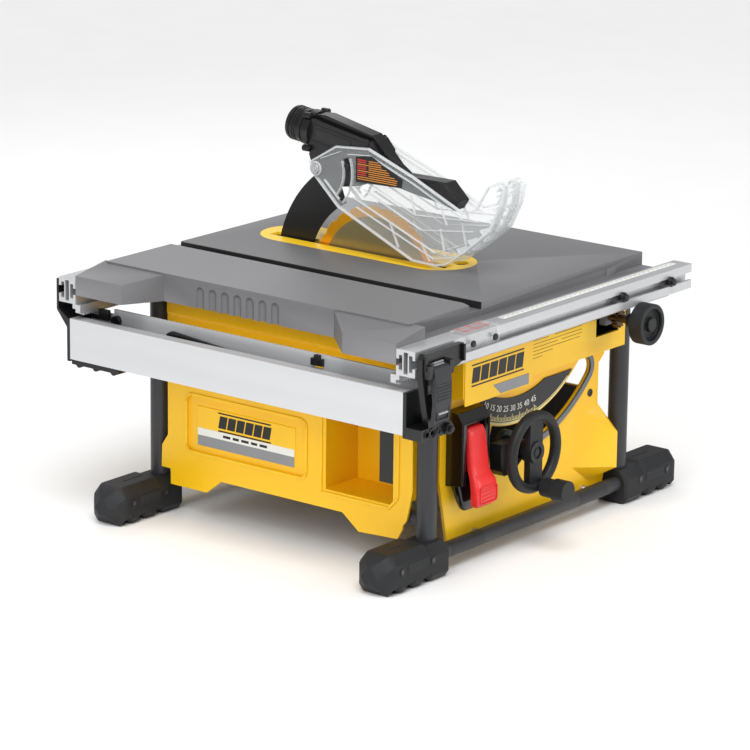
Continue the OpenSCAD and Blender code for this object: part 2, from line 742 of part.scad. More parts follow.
// ---------- tilting carriage ----------
module end_plate(y, rod, shoe_y0) {
    slab_y(y[0], y[1]) difference() {
        union() {
            pivot_arc(bracket_hub_r, bracket_r, -44, shoe_end);
            translate([pivot_x, pivot_z]) polygon([[-48, -52], [-84, -100], [-84, -230], [-20, -230],
                [20, -150], [44, -108], [44, -84], [20, -66], [0, -70]]);
        }
        translate([shaft_x, shaft_z]) circle(shaft_r + fit_gap);
    }
    slab_y(shoe_y0, shoe_y0 + shoe_t) pivot_arc(arc_in + 0.3, arc_out - 0.3, -44, shoe_end);
    inner = y[0] < 0 ? [y[1], rod[1] + 10] : [rod[1] - 10, y[0]];
    for (z = [foot_plate_z, rod_top_z]) block([rod[0] - 12, inner[0], z[0]], [rod[0] + 12, inner[1], z[1]]);
    rod_z(foot_plate_z[0], rod_top_z[1], rod_r, rod[0], rod[1]);
}

module bevel_carriage() color("darkgray") difference() {
    union() {
        end_plate(plate_front_y, rod_front, plate_front_y[0] - shoe_t);
        end_plate(plate_rear_y, rod_rear, plate_rear_y[1]);
        block([-88, plate_front_y[1], foot_plate_z[0]], [-74, plate_rear_y[0], foot_plate_z[1]]);
        block([24, plate_front_y[1], 224], [34, plate_rear_y[0], 244]);
        // bearing block of the lead screw
        block([-64, plate_front_y[1], foot_plate_z[0]], [shaft_x + 12, -94, foot_plate_z[1]]);
        // clamp for the riving knife
        block([-20, 142, 226], [pivot_x - knife_t / 2, plate_rear_y[0], 254]);
    }
    rod_z(0, 200, screw_r - 1 + fit_gap, screw_xy[0], screw_xy[1]);
}

module knife_outline() difference() {
    union() {
        intersection() {
            difference() {
                translate([blade_y, blade_z]) circle(knife_out, $fn = 180);
                translate([blade_y, blade_z]) circle(knife_in, $fn = 180);
            }
            polygon([[blade_y, blade_z - 20], [blade_y + 300, blade_z - 20], [blade_y + 300, blade_z + 300],
                [blade_y + 135, blade_z + 300]]);
        }
        translate([141, 228]) square([31, 70]);
    }
    translate(hinge_yz) circle(hinge_r + 0.6);
    // the tail stays inside the rear arc guide
    translate([172, 0]) square([big, slab_bot]);
}

module riving_knife() color("black")
    slab_x(pivot_x - knife_t / 2, pivot_x + knife_t / 2) knife_outline();

// ---------- guard ----------
function arc_pin_at(a) = hinge_yz + arc_pin_r * [cos(a), sin(a)];

// the middle of the guard's arm: duct, hinge carrier and front lever
module spine_outline() polygon([[116, 470], [116, 499], [95, 500], [30, 486], [20, 484], [7, 472], [-16, 449],
    [-30, 440], [-98, 440.5], [-120, 419], [-112, 407], [-94, 412], [-40, 420], [-20, 424], [10, 428],
    [40, 416], [84, 408], [112, 420], [122, 446]]);

module arm_outline() polygon([[118, 456], [118, 496], [103, 494], [27, 480], [16, 478], [4, 464], [4, 440],
    [20, 440], [60, 444], [100, 452]]);

module duct(h0, h1, r) translate([pivot_x, duct_yz[0], duct_yz[1]]) rotate([90 + duct_fall, 0, 0])
    translate([0, 0, h0]) cylinder(h = h1 - h0, r = r);

module guard_body() color("black") difference() {
    union() {
        slab_x(guard_x[0], guard_x[1]) arm_outline();
        slab_x(guard_x[0] + 8, guard_x[1] - 8) spine_outline();
        // dust duct at the back, with its collar
        duct(0, 38, 22);
        duct(28, 38, 24.5);
        for (x = [[shield_x[0] - 1, guard_x[0] + 8], [guard_x[1] - 8, shield_x[1] + shield_t + 1]])
            rod_x(x[0], x[1], 4, arc_pin_at(arc_pin_ang)[0], arc_pin_at(arc_pin_ang)[1]);
    }
    duct(-1, 36, duct_bore);
    slab_x(pivot_x - knife_t / 2 - 0.1, pivot_x + knife_t / 2 + 0.1) difference() {
        translate([blade_y, blade_z]) circle(knife_out + 0.5, $fn = 180);
        translate([blade_y, blade_z]) circle(knife_in - 0.5, $fn = 180);
    }
    rod_x(guard_x[0] - 1, guard_x[1] + 1, hinge_r + fit_gap, hinge_yz[0], hinge_yz[1]);
}

module shield_outline() polygon([[112, 440], [68, 467], [14, 471], [-57, 445], [-134, 411], [-154, 418],
    [-172, 449], [-188, 457], [-199, 449], [-194, 425], [-178, 391], [-140, 359], [-110, 338], [-94, 334],
    [-56, 335], [64, 386], [104, 424]]);

// the front wall of a shield, which joins its nose to its side
module shield_nose() polygon([[-172, 449], [-188, 457], [-199, 449], [-194, 425], [-178, 391], [-140, 359],
    [-110, 338], [-109, 341], [-138, 362], [-175, 393], [-191, 426], [-195, 447], [-187, 453], [-174, 446]]);

// the path of the arc pin as the shield lifts
module arc_slot() intersection() {
    difference() {
        translate(hinge_yz) circle(arc_pin_r + 4.5);
        translate(hinge_yz) circle(arc_pin_r - 4.5);
    }
    translate(hinge_yz) polygon(concat([[0, 0]],
        [for (a = [158:13:223]) 2 * arc_pin_r * [cos(a), sin(a)]]));
}

module shield(x, nose_x) color([0.85, 0.9, 0.95, 0.4]) difference() {
    union() {
        slab_x(x, x + shield_t) difference() {
            shield_outline();
            arc_slot();
        }
        slab_x(min(x, nose_x), max(x, nose_x)) shield_nose();
    }
    rod_x(x - 1, x + shield_t + 1, hinge_r + fit_gap, hinge_yz[0], hinge_yz[1]);
}

module shield_left() shield(shield_x[0], -13);
module shield_right() shield(shield_x[1], -5);
module shield_pin() color("silver") {
    rod_x(shield_x[0] - 3, shield_x[1] + shield_t + 3, hinge_r, hinge_yz[0], hinge_yz[1]);
    for (x = [shield_x[0] - 4.5, shield_x[1] + shield_t + 1])
        rod_x(x, x + 3.5, 7, hinge_yz[0], hinge_yz[1]);
}

// ---------- lift carriage and drive ----------
module lift_carriage() color("slategray") difference() {
    union() {
        block([lift_x[0], -96, lift_z[0]], [lift_x[1], 156, lift_z[1] - 20]);
        block([-88, -117, lift_z[0]], [-36, -95, lift_z[1]]);
        block([-72, 155, lift_z[0]], [-44, 175, lift_z[1]]);
    }
    rod_z(0, big, rod_r + fit_gap, rod_front[0], rod_front[1]);
    rod_z(0, big, rod_r + fit_gap, rod_rear[0], rod_rear[1]);
    rod_z(0, big, screw_r + fit_gap, screw_xy[0], screw_xy[1]);
}

module motor() color("dimgray") difference() {
    union() {
        rod_x(lift_x[0] - motor_len + 12, lift_x[0], motor_r, motor_y, motor_z);
        rod_x(lift_x[0] - motor_len, lift_x[0] - motor_len + 12, motor_r - 5, motor_y, motor_z);
    }
    for (a = [0:30:330]) rod_x(lift_x[0] - motor_len - 1, lift_x[0] - motor_len + 8, 3.5,
        motor_y + 24 * cos(a), motor_z + 24 * sin(a));
}

module gear_case() color("silver") difference() {
    union() {
        rod_x(lift_x[1], pivot_x - 5, 26, blade_y, blade_z);
        rod_x(lift_x[1], pivot_x - 5, 32, motor_y, motor_z);
        slab_x(lift_x[1], pivot_x - 5) polygon([[blade_y - 14, blade_z - 16], [blade_y + 14, blade_z + 16],
            [motor_y + 18, motor_z + 21], [motor_y - 18, motor_z - 21]]);
    }
    rod_x(-big, big, arbor_r + fit_gap, blade_y, blade_z);
}

// cover over the lower rim of the blade and its right side
module dust_shroud() color("black") intersection() {
    difference() {
        rod_x(pivot_x - 4.5, pivot_x + 22, 110.5, blade_y, blade_z);
        rod_x(pivot_x - 5, pivot_x + 20, 108, blade_y, blade_z);
        rod_x(0, 50, 40, blade_y, blade_z);
    }
    block([-50, -200, 0], [50, 300, blade_z - 22]);
}

module arbor() color("silver") {
    rod_x(lift_x[1] + 1, pivot_x - 5, arbor_r, blade_y, blade_z);
    rod_x(pivot_x - 5, pivot_x + 18, arbor_r - 0.5, blade_y, blade_z);
}

module blade_outline() {
    pitch = 360 / blade_teeth;
    // each tooth: share of the pitch, and depth below the tips
    tooth = [[0, 0], [0.05, 5], [0.2, 7], [0.45, 4.5], [0.8, 1.5]];
    polygon([for (k = [0:blade_teeth - 1], p = tooth)
        (blade_r - p[1]) * [cos((k + p[0]) * pitch), sin((k + p[0]) * pitch)]]);
}

module saw_blade() color("silver") slab_x(pivot_x - blade_t / 2, pivot_x + blade_t / 2)
    translate([blade_y, blade_z]) difference() {
        blade_outline();
        circle(arbor_r);
        // expansion slots
        for (a = [20:90:290]) rotate(a) translate([blade_r - 34, -0.8]) square([26, 1.6]);
    }

module blade_flanges() color("gray") {
    for (x = [pivot_x - blade_t / 2 - 4, pivot_x + blade_t / 2]) difference() {
        rod_x(x, x + 4, flange_r, blade_y, blade_z);
        rod_x(x - 1, x + 5, arbor_r, blade_y, blade_z);
    }
    difference() {
        translate([pivot_x + blade_t / 2 + 4, blade_y, blade_z]) rotate([0, 90, 0])
            cylinder(h = 11, r = 14, $fn = 6);
        rod_x(-big, big, arbor_r, blade_y, blade_z);
    }
}

// ---------- height drive ----------
module height_wheel() color("dimgray") translate([shaft_x, 0, shaft_z]) {
    // rim
    rotate([-90, 0, 0]) translate([0, 0, wheel_y0]) rotate_extrude($fn = 96) round_rect([wheel_r - 13, 1],
        [wheel_r, wheel_y1 - wheel_y0 - 1], 6);
    // two spokes and the hub
    slab_y(wheel_y0 + 4, wheel_y1 - 3) intersection() {
        round_rect([-13, -wheel_r + 6], [13, wheel_r - 6], 3);
        circle(wheel_r - 6);
    }
    difference() {
        rod_y(wheel_y0 + 2, wheel_y1 + 2, 14, 0, 0);
        rod_y(wheel_y0, wheel_y0 + 7, 8, 0, 0);
    }
    rod_y(wheel_y0 + 3, wheel_y0 + 8, 4.5, 0, 0);
    // shaft and its drive pinion
    rod_y(wheel_y1, -112, shaft_r, 0, 0);
    rod_y(-119, -112, 8.4, 0, 0);
    // pin that the crank handle turns on
    rod_y(crank_end_y + 6, wheel_y1 - 4, 4, crank_dx, crank_dz);
}

module crank_handle() color("black") translate([shaft_x + crank_dx, 0, shaft_z + crank_dz]) difference() {
    union() {
        rod_y(crank_end_y, crank_end_y + 20, crank_r, 0, 0);
        rod_y(crank_end_y + 20, wheel_y0 - gap, crank_r - 2, 0, 0);
    }
    rod_y(crank_end_y + 5, 0, 4 + fit_gap, 0, 0);
}

// vertical screw with its gear disc at the foot
module lead_screw() color("silver") {
    rod_z(foot_plate_z[1] + 7, lift_z[1] + 4, screw_r, screw_xy[0], screw_xy[1]);
    rod_z(foot_plate_z[1] + 0.3, foot_plate_z[1] + 7, 14, screw_xy[0], screw_xy[1]);
    rod_z(foot_plate_z[0] + 1, foot_plate_z[1] + 0.3, screw_r - 1, screw_xy[0], screw_xy[1]);
}

// lever that locks the bevel, on the height shaft behind the wheel
module bevel_lever() color("black") translate([shaft_x, 0, shaft_z]) difference() {
    union() {
        rod_y(wheel_y1 + 2 + gap, -218, 13, 0, 0);
        slab_y(-244, -226) polygon([[-8, 13], [-42, 14], [-44, 8], [-42, -20], [-36, -27], [-20, -27],
            [10, -8], [8, 8]]);
        slab_y(-222, -214) circle(20);
    }
    rod_y(-big, 0, shaft_r + fit_gap, 0, 0);
}

table_top();
throat_plate();
trunnions();
rail_guides();
leg_front_left();
leg_front_right();
leg_rear_left();
leg_rear_right();
tube_front();
tube_rear();
tube_left();
tube_right();
foot_front_left();
foot_front_right();
foot_rear_left();
foot_rear_right();
frame_screws();
housing_front();
housing_left();
housing_right();
housing_rear();
bevel_scale();
slot_rim();
switch_box();
control_module();
battery_dock();
dust_port();
rail_front();
rail_rear();
scale_cursor();
pinion_shaft();
rail_knob();
fence_face();
fence_beam();
fence_head_front();
fence_head_rear();
push_stick();
latch_front();
stop_paddle();
start_button();
bevel_carriage();
riving_knife();
guard_body();
lift_carriage();
motor();
gear_case();
dust_shroud();
arbor();
saw_blade();
blade_flanges();
height_wheel();
crank_handle();
lead_screw();
bevel_lever();
shield_pin();
shield_left();
shield_right();
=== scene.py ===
import json
import math

import bmesh
import bpy
from mathutils import Matrix, Vector


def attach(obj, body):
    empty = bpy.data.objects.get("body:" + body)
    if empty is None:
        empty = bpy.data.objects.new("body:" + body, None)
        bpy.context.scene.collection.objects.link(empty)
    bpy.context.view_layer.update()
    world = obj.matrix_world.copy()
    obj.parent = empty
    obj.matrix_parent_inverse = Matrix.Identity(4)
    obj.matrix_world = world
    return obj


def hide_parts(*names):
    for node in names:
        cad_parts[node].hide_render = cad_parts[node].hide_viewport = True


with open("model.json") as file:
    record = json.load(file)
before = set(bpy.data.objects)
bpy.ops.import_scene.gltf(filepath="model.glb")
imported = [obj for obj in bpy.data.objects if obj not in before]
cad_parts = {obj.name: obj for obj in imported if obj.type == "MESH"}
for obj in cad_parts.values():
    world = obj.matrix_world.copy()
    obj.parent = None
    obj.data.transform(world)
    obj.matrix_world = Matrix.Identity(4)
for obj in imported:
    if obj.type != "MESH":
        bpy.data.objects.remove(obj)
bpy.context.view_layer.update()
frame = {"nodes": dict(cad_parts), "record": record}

MM = 0.001
BODY_OF = {n: b for b, ns in frame["record"]["behaviour"]["bodies"].items() for n in ns}

# places on the saw, in millimetres, as in the CAD frame
PIVOT = (-9.0, 330.0)            # bevel pivot, X and Z
BLADE = (18.0, 290.0)            # blade centre, Y and Z
HINGE = (99.0, 433.0)            # shield hinge, Y and Z
KNOB = (149.0, 259.0)            # rail knob, X and Z
FRONT = -208.0                   # front wall of the housing
BAND = -232.0                    # raised band of the housing
LEFT = -214.0                    # left wall of the housing
RAIL_F, RAIL_D = -252.0, 28.0     # inner face and depth of the front rail
FENCE_X = -314.0                 # outer face of the fence
LEG_X, LEG_Y = 202, 215          # middle of a leg, from the saw's middle
FOOT_HALF = 27                   # half a foot's width


# ---------- materials ----------
def srgb(r, g, b):
    return tuple(((c / 255) / 12.92 if c <= 10 else ((c / 255 + 0.055) / 1.055) ** 2.4) for c in (r, g, b))


def material(name, colour, rough, metal=0.0, vary=0.12, vary_scale=9.0, grain=0.15, grain_scale=900.0,
             stretch=(1, 1, 1), rough_vary=0.08, coat=0.0, alpha=1.0, edge=0.0, specular=0.5):
    """A finish with uneven colour and gloss, a fine surface grain, and optionally lighter edges, partly wear
    and partly a painted highlight.
    """
    m = bpy.data.materials.new(name)
    m.use_nodes = True
    nt = m.node_tree
    p = nt.nodes["Principled BSDF"]
    p.inputs["Metallic"].default_value = metal
    p.inputs["Coat Weight"].default_value = coat
    p.inputs["Coat Roughness"].default_value = 0.15
    p.inputs["Alpha"].default_value = alpha
    p.inputs["Specular IOR Level"].default_value = specular
    coords = nt.nodes.new("ShaderNodeTexCoord")
    place = nt.nodes.new("ShaderNodeMapping")
    place.inputs["Scale"].default_value = stretch
    nt.links.new(coords.outputs["Object"], place.inputs["Vector"])

    def noise(scale, detail):
        n = nt.nodes.new("ShaderNodeTexNoise")
        n.inputs["Scale"].default_value = scale
        n.inputs["Detail"].default_value = detail
        nt.links.new(place.outputs["Vector"], n.inputs["Vector"])
        return n

    broad = noise(vary_scale, 4.0)
    fine = noise(grain_scale, 3.0)
    base = srgb(*colour)
    ramp = nt.nodes.new("ShaderNodeValToRGB")
    ramp.color_ramp.elements[0].position = 0.3
    ramp.color_ramp.elements[1].position = 0.7
    ramp.color_ramp.elements[0].color = (*[c * (1 - vary) for c in base], 1)
    ramp.color_ramp.elements[1].color = (*[min(1.0, c * (1 + vary)) for c in base], 1)
    nt.links.new(broad.outputs["Fac"], ramp.inputs["Fac"])
    colour_out = ramp.outputs["Color"]
    if edge:
        # slightly lighter on sharp edges: partly rubbed wear, partly a painted highlight along the edges
        geo = nt.nodes.new("ShaderNodeNewGeometry")
        edge_wear_and_highlight = nt.nodes.new("ShaderNodeMapRange")
        edge_wear_and_highlight.inputs["From Min"].default_value = 0.51
        edge_wear_and_highlight.inputs["From Max"].default_value = 0.60
        edge_wear_and_highlight.inputs["To Max"].default_value = edge
        nt.links.new(geo.outputs["Pointiness"], edge_wear_and_highlight.inputs["Value"])
        mix = nt.nodes.new("ShaderNodeMix")
        mix.data_type = "RGBA"
        nt.links.new(edge_wear_and_highlight.outputs["Result"], mix.inputs["Factor"])
        nt.links.new(colour_out, mix.inputs["A"])
        mix.inputs["B"].default_value = (*[min(1.0, c * 1.6 + 0.05) for c in base], 1)
        colour_out = mix.outputs["Result"]
    nt.links.new(colour_out, p.inputs["Base Color"])
    gloss = nt.nodes.new("ShaderNodeMapRange")
    gloss.inputs["To Min"].default_value = max(0.03, rough - rough_vary)
    gloss.inputs["To Max"].default_value = min(1.0, rough + rough_vary)
    nt.links.new(broad.outputs["Fac"], gloss.inputs["Value"])
    nt.links.new(gloss.outputs["Result"], p.inputs["Roughness"])
    bump = nt.nodes.new("ShaderNodeBump")
    bump.inputs["Strength"].default_value = grain
    bump.inputs["Distance"].default_value = 0.0004
    nt.links.new(fine.outputs["Fac"], bump.inputs["Height"])
    nt.links.new(bump.outputs["Normal"], p.inputs["Normal"])
    return m


def blade_material():
    """Bright toothed rim, an orange ring and a bronze centre, by distance from the arbor.

    The distance is scaled so that 1 is just past the tips of the teeth.
    """
    m = material("blade finish", (205, 205, 205), 0.3, metal=0.75, vary=0.06, grain=0.1, grain_scale=500)
    nt = m.node_tree
    p = nt.nodes["Principled BSDF"]
    coords = nt.nodes.new("ShaderNodeTexCoord")
    place = nt.nodes.new("ShaderNodeMapping")
    place.inputs["Location"].default_value = (0, -BLADE[0] * MM, -BLADE[1] * MM)
    nt.links.new(coords.outputs["Object"], place.inputs["Vector"])
    flat = nt.nodes.new("ShaderNodeVectorMath")
    flat.operation = "MULTIPLY"
    flat.inputs[1].default_value = (0, 9.5, 9.5)
    nt.links.new(place.outputs["Vector"], flat.inputs[0])
    dist = nt.nodes.new("ShaderNodeVectorMath")
    dist.operation = "LENGTH"
    nt.links.new(flat.outputs["Vector"], dist.inputs[0])
    ramp = nt.nodes.new("ShaderNodeValToRGB")
    ramp.color_ramp.interpolation = "CONSTANT"
    e = ramp.color_ramp.elements
    e[0].color = (*srgb(158, 146, 106), 1)
    e[1].position = 0.825
    e[1].color = (*srgb(244, 176, 28), 1)
    rim = e.new(0.955)
    rim.color = (*srgb(200, 200, 198), 1)
    nt.links.new(dist.outputs["Value"], ramp.inputs["Fac"])
    nt.links.new(ramp.outputs["Color"], p.inputs["Base Color"])
    return m


MAT = {
    "table_metal": material("table coating", (110, 110, 112), 0.5, metal=0.3, vary=0.05, grain=0.3,
                            grain_scale=700, rough_vary=0.06, edge=0.5),
    "housing_yellow": material("yellow plastic", (248, 192, 10), 0.36, vary=0.05, grain=0.12,
                               grain_scale=1200, edge=0.15),
    "frame_paint": material("frame paint", (42, 43, 46), 0.4, vary=0.08, grain=0.25, edge=0.3, specular=0.45),
    "foot_plastic": material("foot plastic", (32, 33, 35), 0.6, vary=0.15, grain=0.5, grain_scale=500,
                             edge=0.3, specular=0.3),
    "rail_aluminium": material("anodised along X", (198, 199, 201), 0.34, metal=0.6, vary=0.04, grain=0.2,
                               grain_scale=260, stretch=(0.05, 1, 1), vary_scale=30),
    "fence_aluminium": material("anodised along Y", (204, 205, 207), 0.4, metal=0.4, vary=0.04, grain=0.2,
                                grain_scale=260, stretch=(1, 0.05, 1), vary_scale=30),
    "black_plastic": material("black plastic", (12, 12, 13), 0.3, vary=0.2, grain=0.25, grain_scale=600,
                              edge=0.25, specular=0.4),
    "gloss_black": material("gloss black", (11, 11, 12), 0.16, vary=0.2, grain=0.05, coat=0.3),
    "grey_rubber": material("dark rubber", (25, 26, 28), 0.5, vary=0.12, grain=0.4, grain_scale=600,
                            edge=0.25, specular=0.35),
    "latch_grey": material("latch grey", (34, 35, 38), 0.45, vary=0.1, grain=0.3, grain_scale=600, edge=0.3,
                           specular=0.4),
    "red_plastic": material("red plastic", (222, 38, 38), 0.36, vary=0.06, grain=0.15, coat=0.15),
    "green_plastic": material("green plastic", (60, 120, 70), 0.35, vary=0.1, grain=0.1),
    "clear_plastic": material("clear plastic", (236, 240, 242), 0.05, vary=0.02, grain=0.02, grain_scale=60,
                              alpha=0.12, rough_vary=0.03),
    # thicker clear plastic of rims and ribs, drawn whiter as a painted highlight of their bright edges
    "clear_rim_and_highlight": material("clear plastic edge", (238, 241, 242), 0.12, vary=0.05, grain=0.03, grain_scale=90,
                           alpha=0.5, rough_vary=0.05),
    "insert_yellow": material("yellow insert", (246, 200, 36), 0.35, vary=0.05, grain=0.08, edge=0.15),
    "knife_black": material("blackened steel", (26, 26, 27), 0.34, metal=0.3, vary=0.15, grain=0.12,
                            grain_scale=300),
    "dark_steel": material("dark steel", (88, 89, 92), 0.35, metal=0.8, vary=0.08, grain=0.1),
    "steel": material("bright steel", (190, 190, 192), 0.28, metal=0.9, vary=0.06, grain=0.08),
    "bronze": material("oiled bronze", (96, 74, 48), 0.38, metal=0.7, vary=0.15, grain=0.15),
    "cast_metal": material("cast metal", (120, 122, 125), 0.5, metal=0.6, vary=0.12, grain=0.5,
                           grain_scale=350),
    "motor_grey": material("motor can", (70, 72, 75), 0.45, metal=0.4, vary=0.12, grain=0.3),
    "grey_plate": material("grey plate", (140, 142, 145), 0.4, metal=0.2, vary=0.04, grain=0.1),
    "white_print": material("pale print", (232, 232, 226), 0.5, vary=0.03, grain=0.05),
    "cream_print": material("cream print", (240, 226, 160), 0.5, vary=0.03, grain=0.05),
    # black print, also used for painted shade in the finger hole and along the mitre slot
    "black_print_and_painted_shade": material("black print", (22, 22, 22), 0.5, vary=0.1, grain=0.05),
    "red_print": material("red print", (206, 52, 34), 0.5, vary=0.05, grain=0.05),
    "orange_print": material("orange print", (236, 150, 40), 0.5, vary=0.05, grain=0.05),
    "blade": blade_material(),
}


# ---------- mesh building ----------
def finish_object(name, bm, body, mat, bevel, replaces, segments=2, angle=30):
    """Turns a mesh into a piece that rides on a body, with rounded edges and smooth curved faces."""
    for f in bm.faces:
        f.smooth = True
    mesh = bpy.data.meshes.new(name)
    bm.to_mesh(mesh)
    bm.free()
    for extra in ("custom_normal", "sharp_face", "sharp_edge"):
        if extra in mesh.attributes:
            mesh.attributes.remove(mesh.attributes[extra])
    mesh.materials.clear()
    mesh.materials.append(MAT[mat])
    obj = bpy.data.objects.new(name, mesh)
    bpy.context.scene.collection.objects.link(obj)
    if bevel:
        b = obj.modifiers.new("edges", "BEVEL")
        b.width = bevel * MM
        b.segments = segments
        b.limit_method = "ANGLE"
        b.angle_limit = math.radians(angle)
        b.harden_normals = True
        b.miter_outer = "MITER_ARC"
    else:
        mesh.set_sharp_from_angle(angle=math.radians(angle))
    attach(obj, body)
    if replaces:
        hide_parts(*replaces)
    return obj


def soft(node, mat, bevel=0.5, name=None, segments=2, angle=30):
    """The CAD part itself, with its edges rounded."""
    bm = bmesh.new()
    bm.from_mesh(frame["nodes"][node].data)
    bmesh.ops.remove_doubles(bm, verts=bm.verts, dist=1e-6)
    bmesh.ops.dissolve_limit(bm, angle_limit=math.radians(0.5), verts=bm.verts, edges=bm.edges)
    return finish_object(name or node + "_soft", bm, BODY_OF[node], mat, bevel, (node,), segments,
                         angle)


class Build:
    """Collects shapes, drawn in millimetres, into one mesh."""

    def __init__(self):
        self.bm = bmesh.new()

    def _add(self, points, faces):
        verts = [self.bm.verts.new(Vector(p) * MM) for p in points]
        for f in faces:
            self.bm.faces.new([verts[i] for i in f])

    def skin(self, points, n):
        """A closed skin over a list of rings of n points each."""
        faces = [list(range(n)), list(range(len(points) - n, len(points)))[::-1]]
        for r in range(0, len(points) - n, n):
            faces += [[r + k, r + (k + 1) % n, r + n + (k + 1) % n, r + n + k] for k in range(n)]
        self._add(points, faces)
        return self

    def prism(self, axis, outline, a, b):
        """An outline in the other two axes, in their usual order, from a to b along the axis."""
        def at(p, t):
            return {"x": (t, p[0], p[1]), "y": (p[0], t, p[1]), "z": (p[0], p[1], t)}[axis]
        n = len(outline)
        faces = [list(range(n))[::-1], list(range(n, 2 * n))]
        faces += [[i, (i + 1) % n, (i + 1) % n + n, i + n] for i in range(n)]
        self._add([at(p, a) for p in outline] + [at(p, b) for p in outline], faces)
        return self

    def box(self, lo, hi):
        return self.prism("z", [(lo[0], lo[1]), (hi[0], lo[1]), (hi[0], hi[1]), (lo[0], hi[1])], lo[2], hi[2])

    def lathe(self, axis, profile, centre, n=48, closed=False):
        """A profile of (radius, position along the axis) turned round an axis through centre."""
        def at(r, t, k):
            a = 2 * math.pi * k / n
            u, v = r * math.cos(a), r * math.sin(a)
            return {"x": (t, centre[0] + u, centre[1] + v), "y": (centre[0] + u, t, centre[1] + v),
                    "z": (centre[0] + u, centre[1] + v, t)}[axis]
        rings = []
        points = []
        for r, t in profile:
            if r < 1e-6:
                rings.append([len(points)] * n)
                points.append(at(0, t, 0))
            else:
                rings.append([len(points) + k for k in range(n)])
                points += [at(r, t, k) for k in range(n)]
        faces = []
        pairs = list(zip(rings, rings[1:]))
        if closed:
            pairs.append((rings[-1], rings[0]))
        for a, b in pairs:
            for k in range(n):
                f = [a[k], a[(k + 1) % n], b[(k + 1) % n], b[k]]
                f = [v for i, v in enumerate(f) if v not in f[:i]]
                if len(f) > 2:
                    faces.append(f)
        self._add(points, faces)
        return self

    def cyl(self, axis, r, a, b, centre, n=32):
        return self.lathe(axis, [(0, a), (r, a), (r, b), (0, b)], centre, n)

    def ring(self, axis, r0, r1, a, b, centre, n=48):
        return self.lathe(axis, [(r0, a), (r1, a), (r1, b), (r0, b)], centre, n, closed=True)

    def path(self, axis, points, width, a, b, closed=False):
        """A strip of one width along a line drawn in the other two axes, with mitred corners."""
        pts = [Vector(p) for p in points]
        n = len(pts)
        sides = []
        for i in range(n):
            before = (pts[i] - pts[i - 1]) if (i or closed) else None
            after = (pts[(i + 1) % n] - pts[i]) if (i < n - 1 or closed) else None
            dirs = [d.normalized() for d in (before, after) if d is not None]
            normals = [Vector((-d.y, d.x)) for d in dirs]
            mid = sum(normals, Vector((0, 0))).normalized()
            mid *= width / 2 / max(0.4, mid.dot(normals[0]))
            sides.append((pts[i] + mid, pts[i] - mid))
        for i in range(n if closed else n - 1):
            (p, q), (r, t) = sides[i], sides[(i + 1) % n]
            self.prism(axis, [tuple(p), tuple(r), tuple(t), tuple(q)], a, b)
        return self

    def turned(self, about, axis, degrees):
        """Turns everything collected so far."""
        m = Matrix.Translation(Vector(about) * MM) @ Matrix.Rotation(math.radians(degrees), 4, axis) \
            @ Matrix.Translation(-Vector(about) * MM)
        bmesh.ops.transform(self.bm, matrix=m, verts=self.bm.verts)
        return self

    def done(self, name, body, mat, bevel=0.5, slot=None, replaces=(), segments=2, angle=30):
        bmesh.ops.recalc_face_normals(self.bm, faces=self.bm.faces)
        return finish_object(name, self.bm, body, mat, bevel, replaces, segments, angle)


def arc(cx, cy, r, a0, a1, n=8):
    return [(cx + r * math.cos(math.radians(a0 + (a1 - a0) * i / n)),
             cy + r * math.sin(math.radians(a0 + (a1 - a0) * i / n))) for i in range(n + 1)]


def round_box(x0, y0, x1, y1, r, n=6):
    return (arc(x1 - r, y1 - r, r, 0, 90, n) + arc(x0 + r, y1 - r, r, 90, 180, n)
            + arc(x0 + r, y0 + r, r, 180, 270, n) + arc(x1 - r, y0 + r, r, 270, 360, n))


def pivot_point(r, degrees):
    """A point at an angle right of straight down from the bevel pivot."""
    a = math.radians(degrees)
    return PIVOT[0] + r * math.sin(a), PIVOT[1] - r * math.cos(a)


def pivot_band(r0, r1, a0, a1, n=48):
    inner = [pivot_point(r0, a0 + (a1 - a0) * i / n) for i in range(n + 1)]
    outer = [pivot_point(r1, a1 + (a0 - a1) * i / n) for i in range(n + 1)]
    return inner + outer


def number(text, size, place, turn, body, name, mat):
    """A dial number lying on the front wall, at (X, Y, Z), turned in its plane."""
    curve = bpy.data.curves.new(name, "FONT")
    curve.body = text
    curve.size = size * MM
    curve.extrude = 0.15 * MM
    curve.align_x = "CENTER"
    curve.align_y = "CENTER"
    maker = bpy.data.objects.new(name + "_maker", curve)
    bpy.context.scene.collection.objects.link(maker)
    bpy.context.view_layer.update()
    mesh = bpy.data.meshes.new_from_object(maker.evaluated_get(bpy.context.evaluated_depsgraph_get()))
    bpy.data.objects.remove(maker)
    mesh.transform(Matrix.Translation(Vector(place) * MM) @ Matrix.Rotation(-math.radians(turn), 4, "Y")
                   @ Matrix.Rotation(math.radians(90), 4, "X"))
    mesh.materials.clear()
    mesh.materials.append(MAT[mat])
    obj = bpy.data.objects.new(name, mesh)
    bpy.context.scene.collection.objects.link(obj)
    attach(obj, body)
    return obj


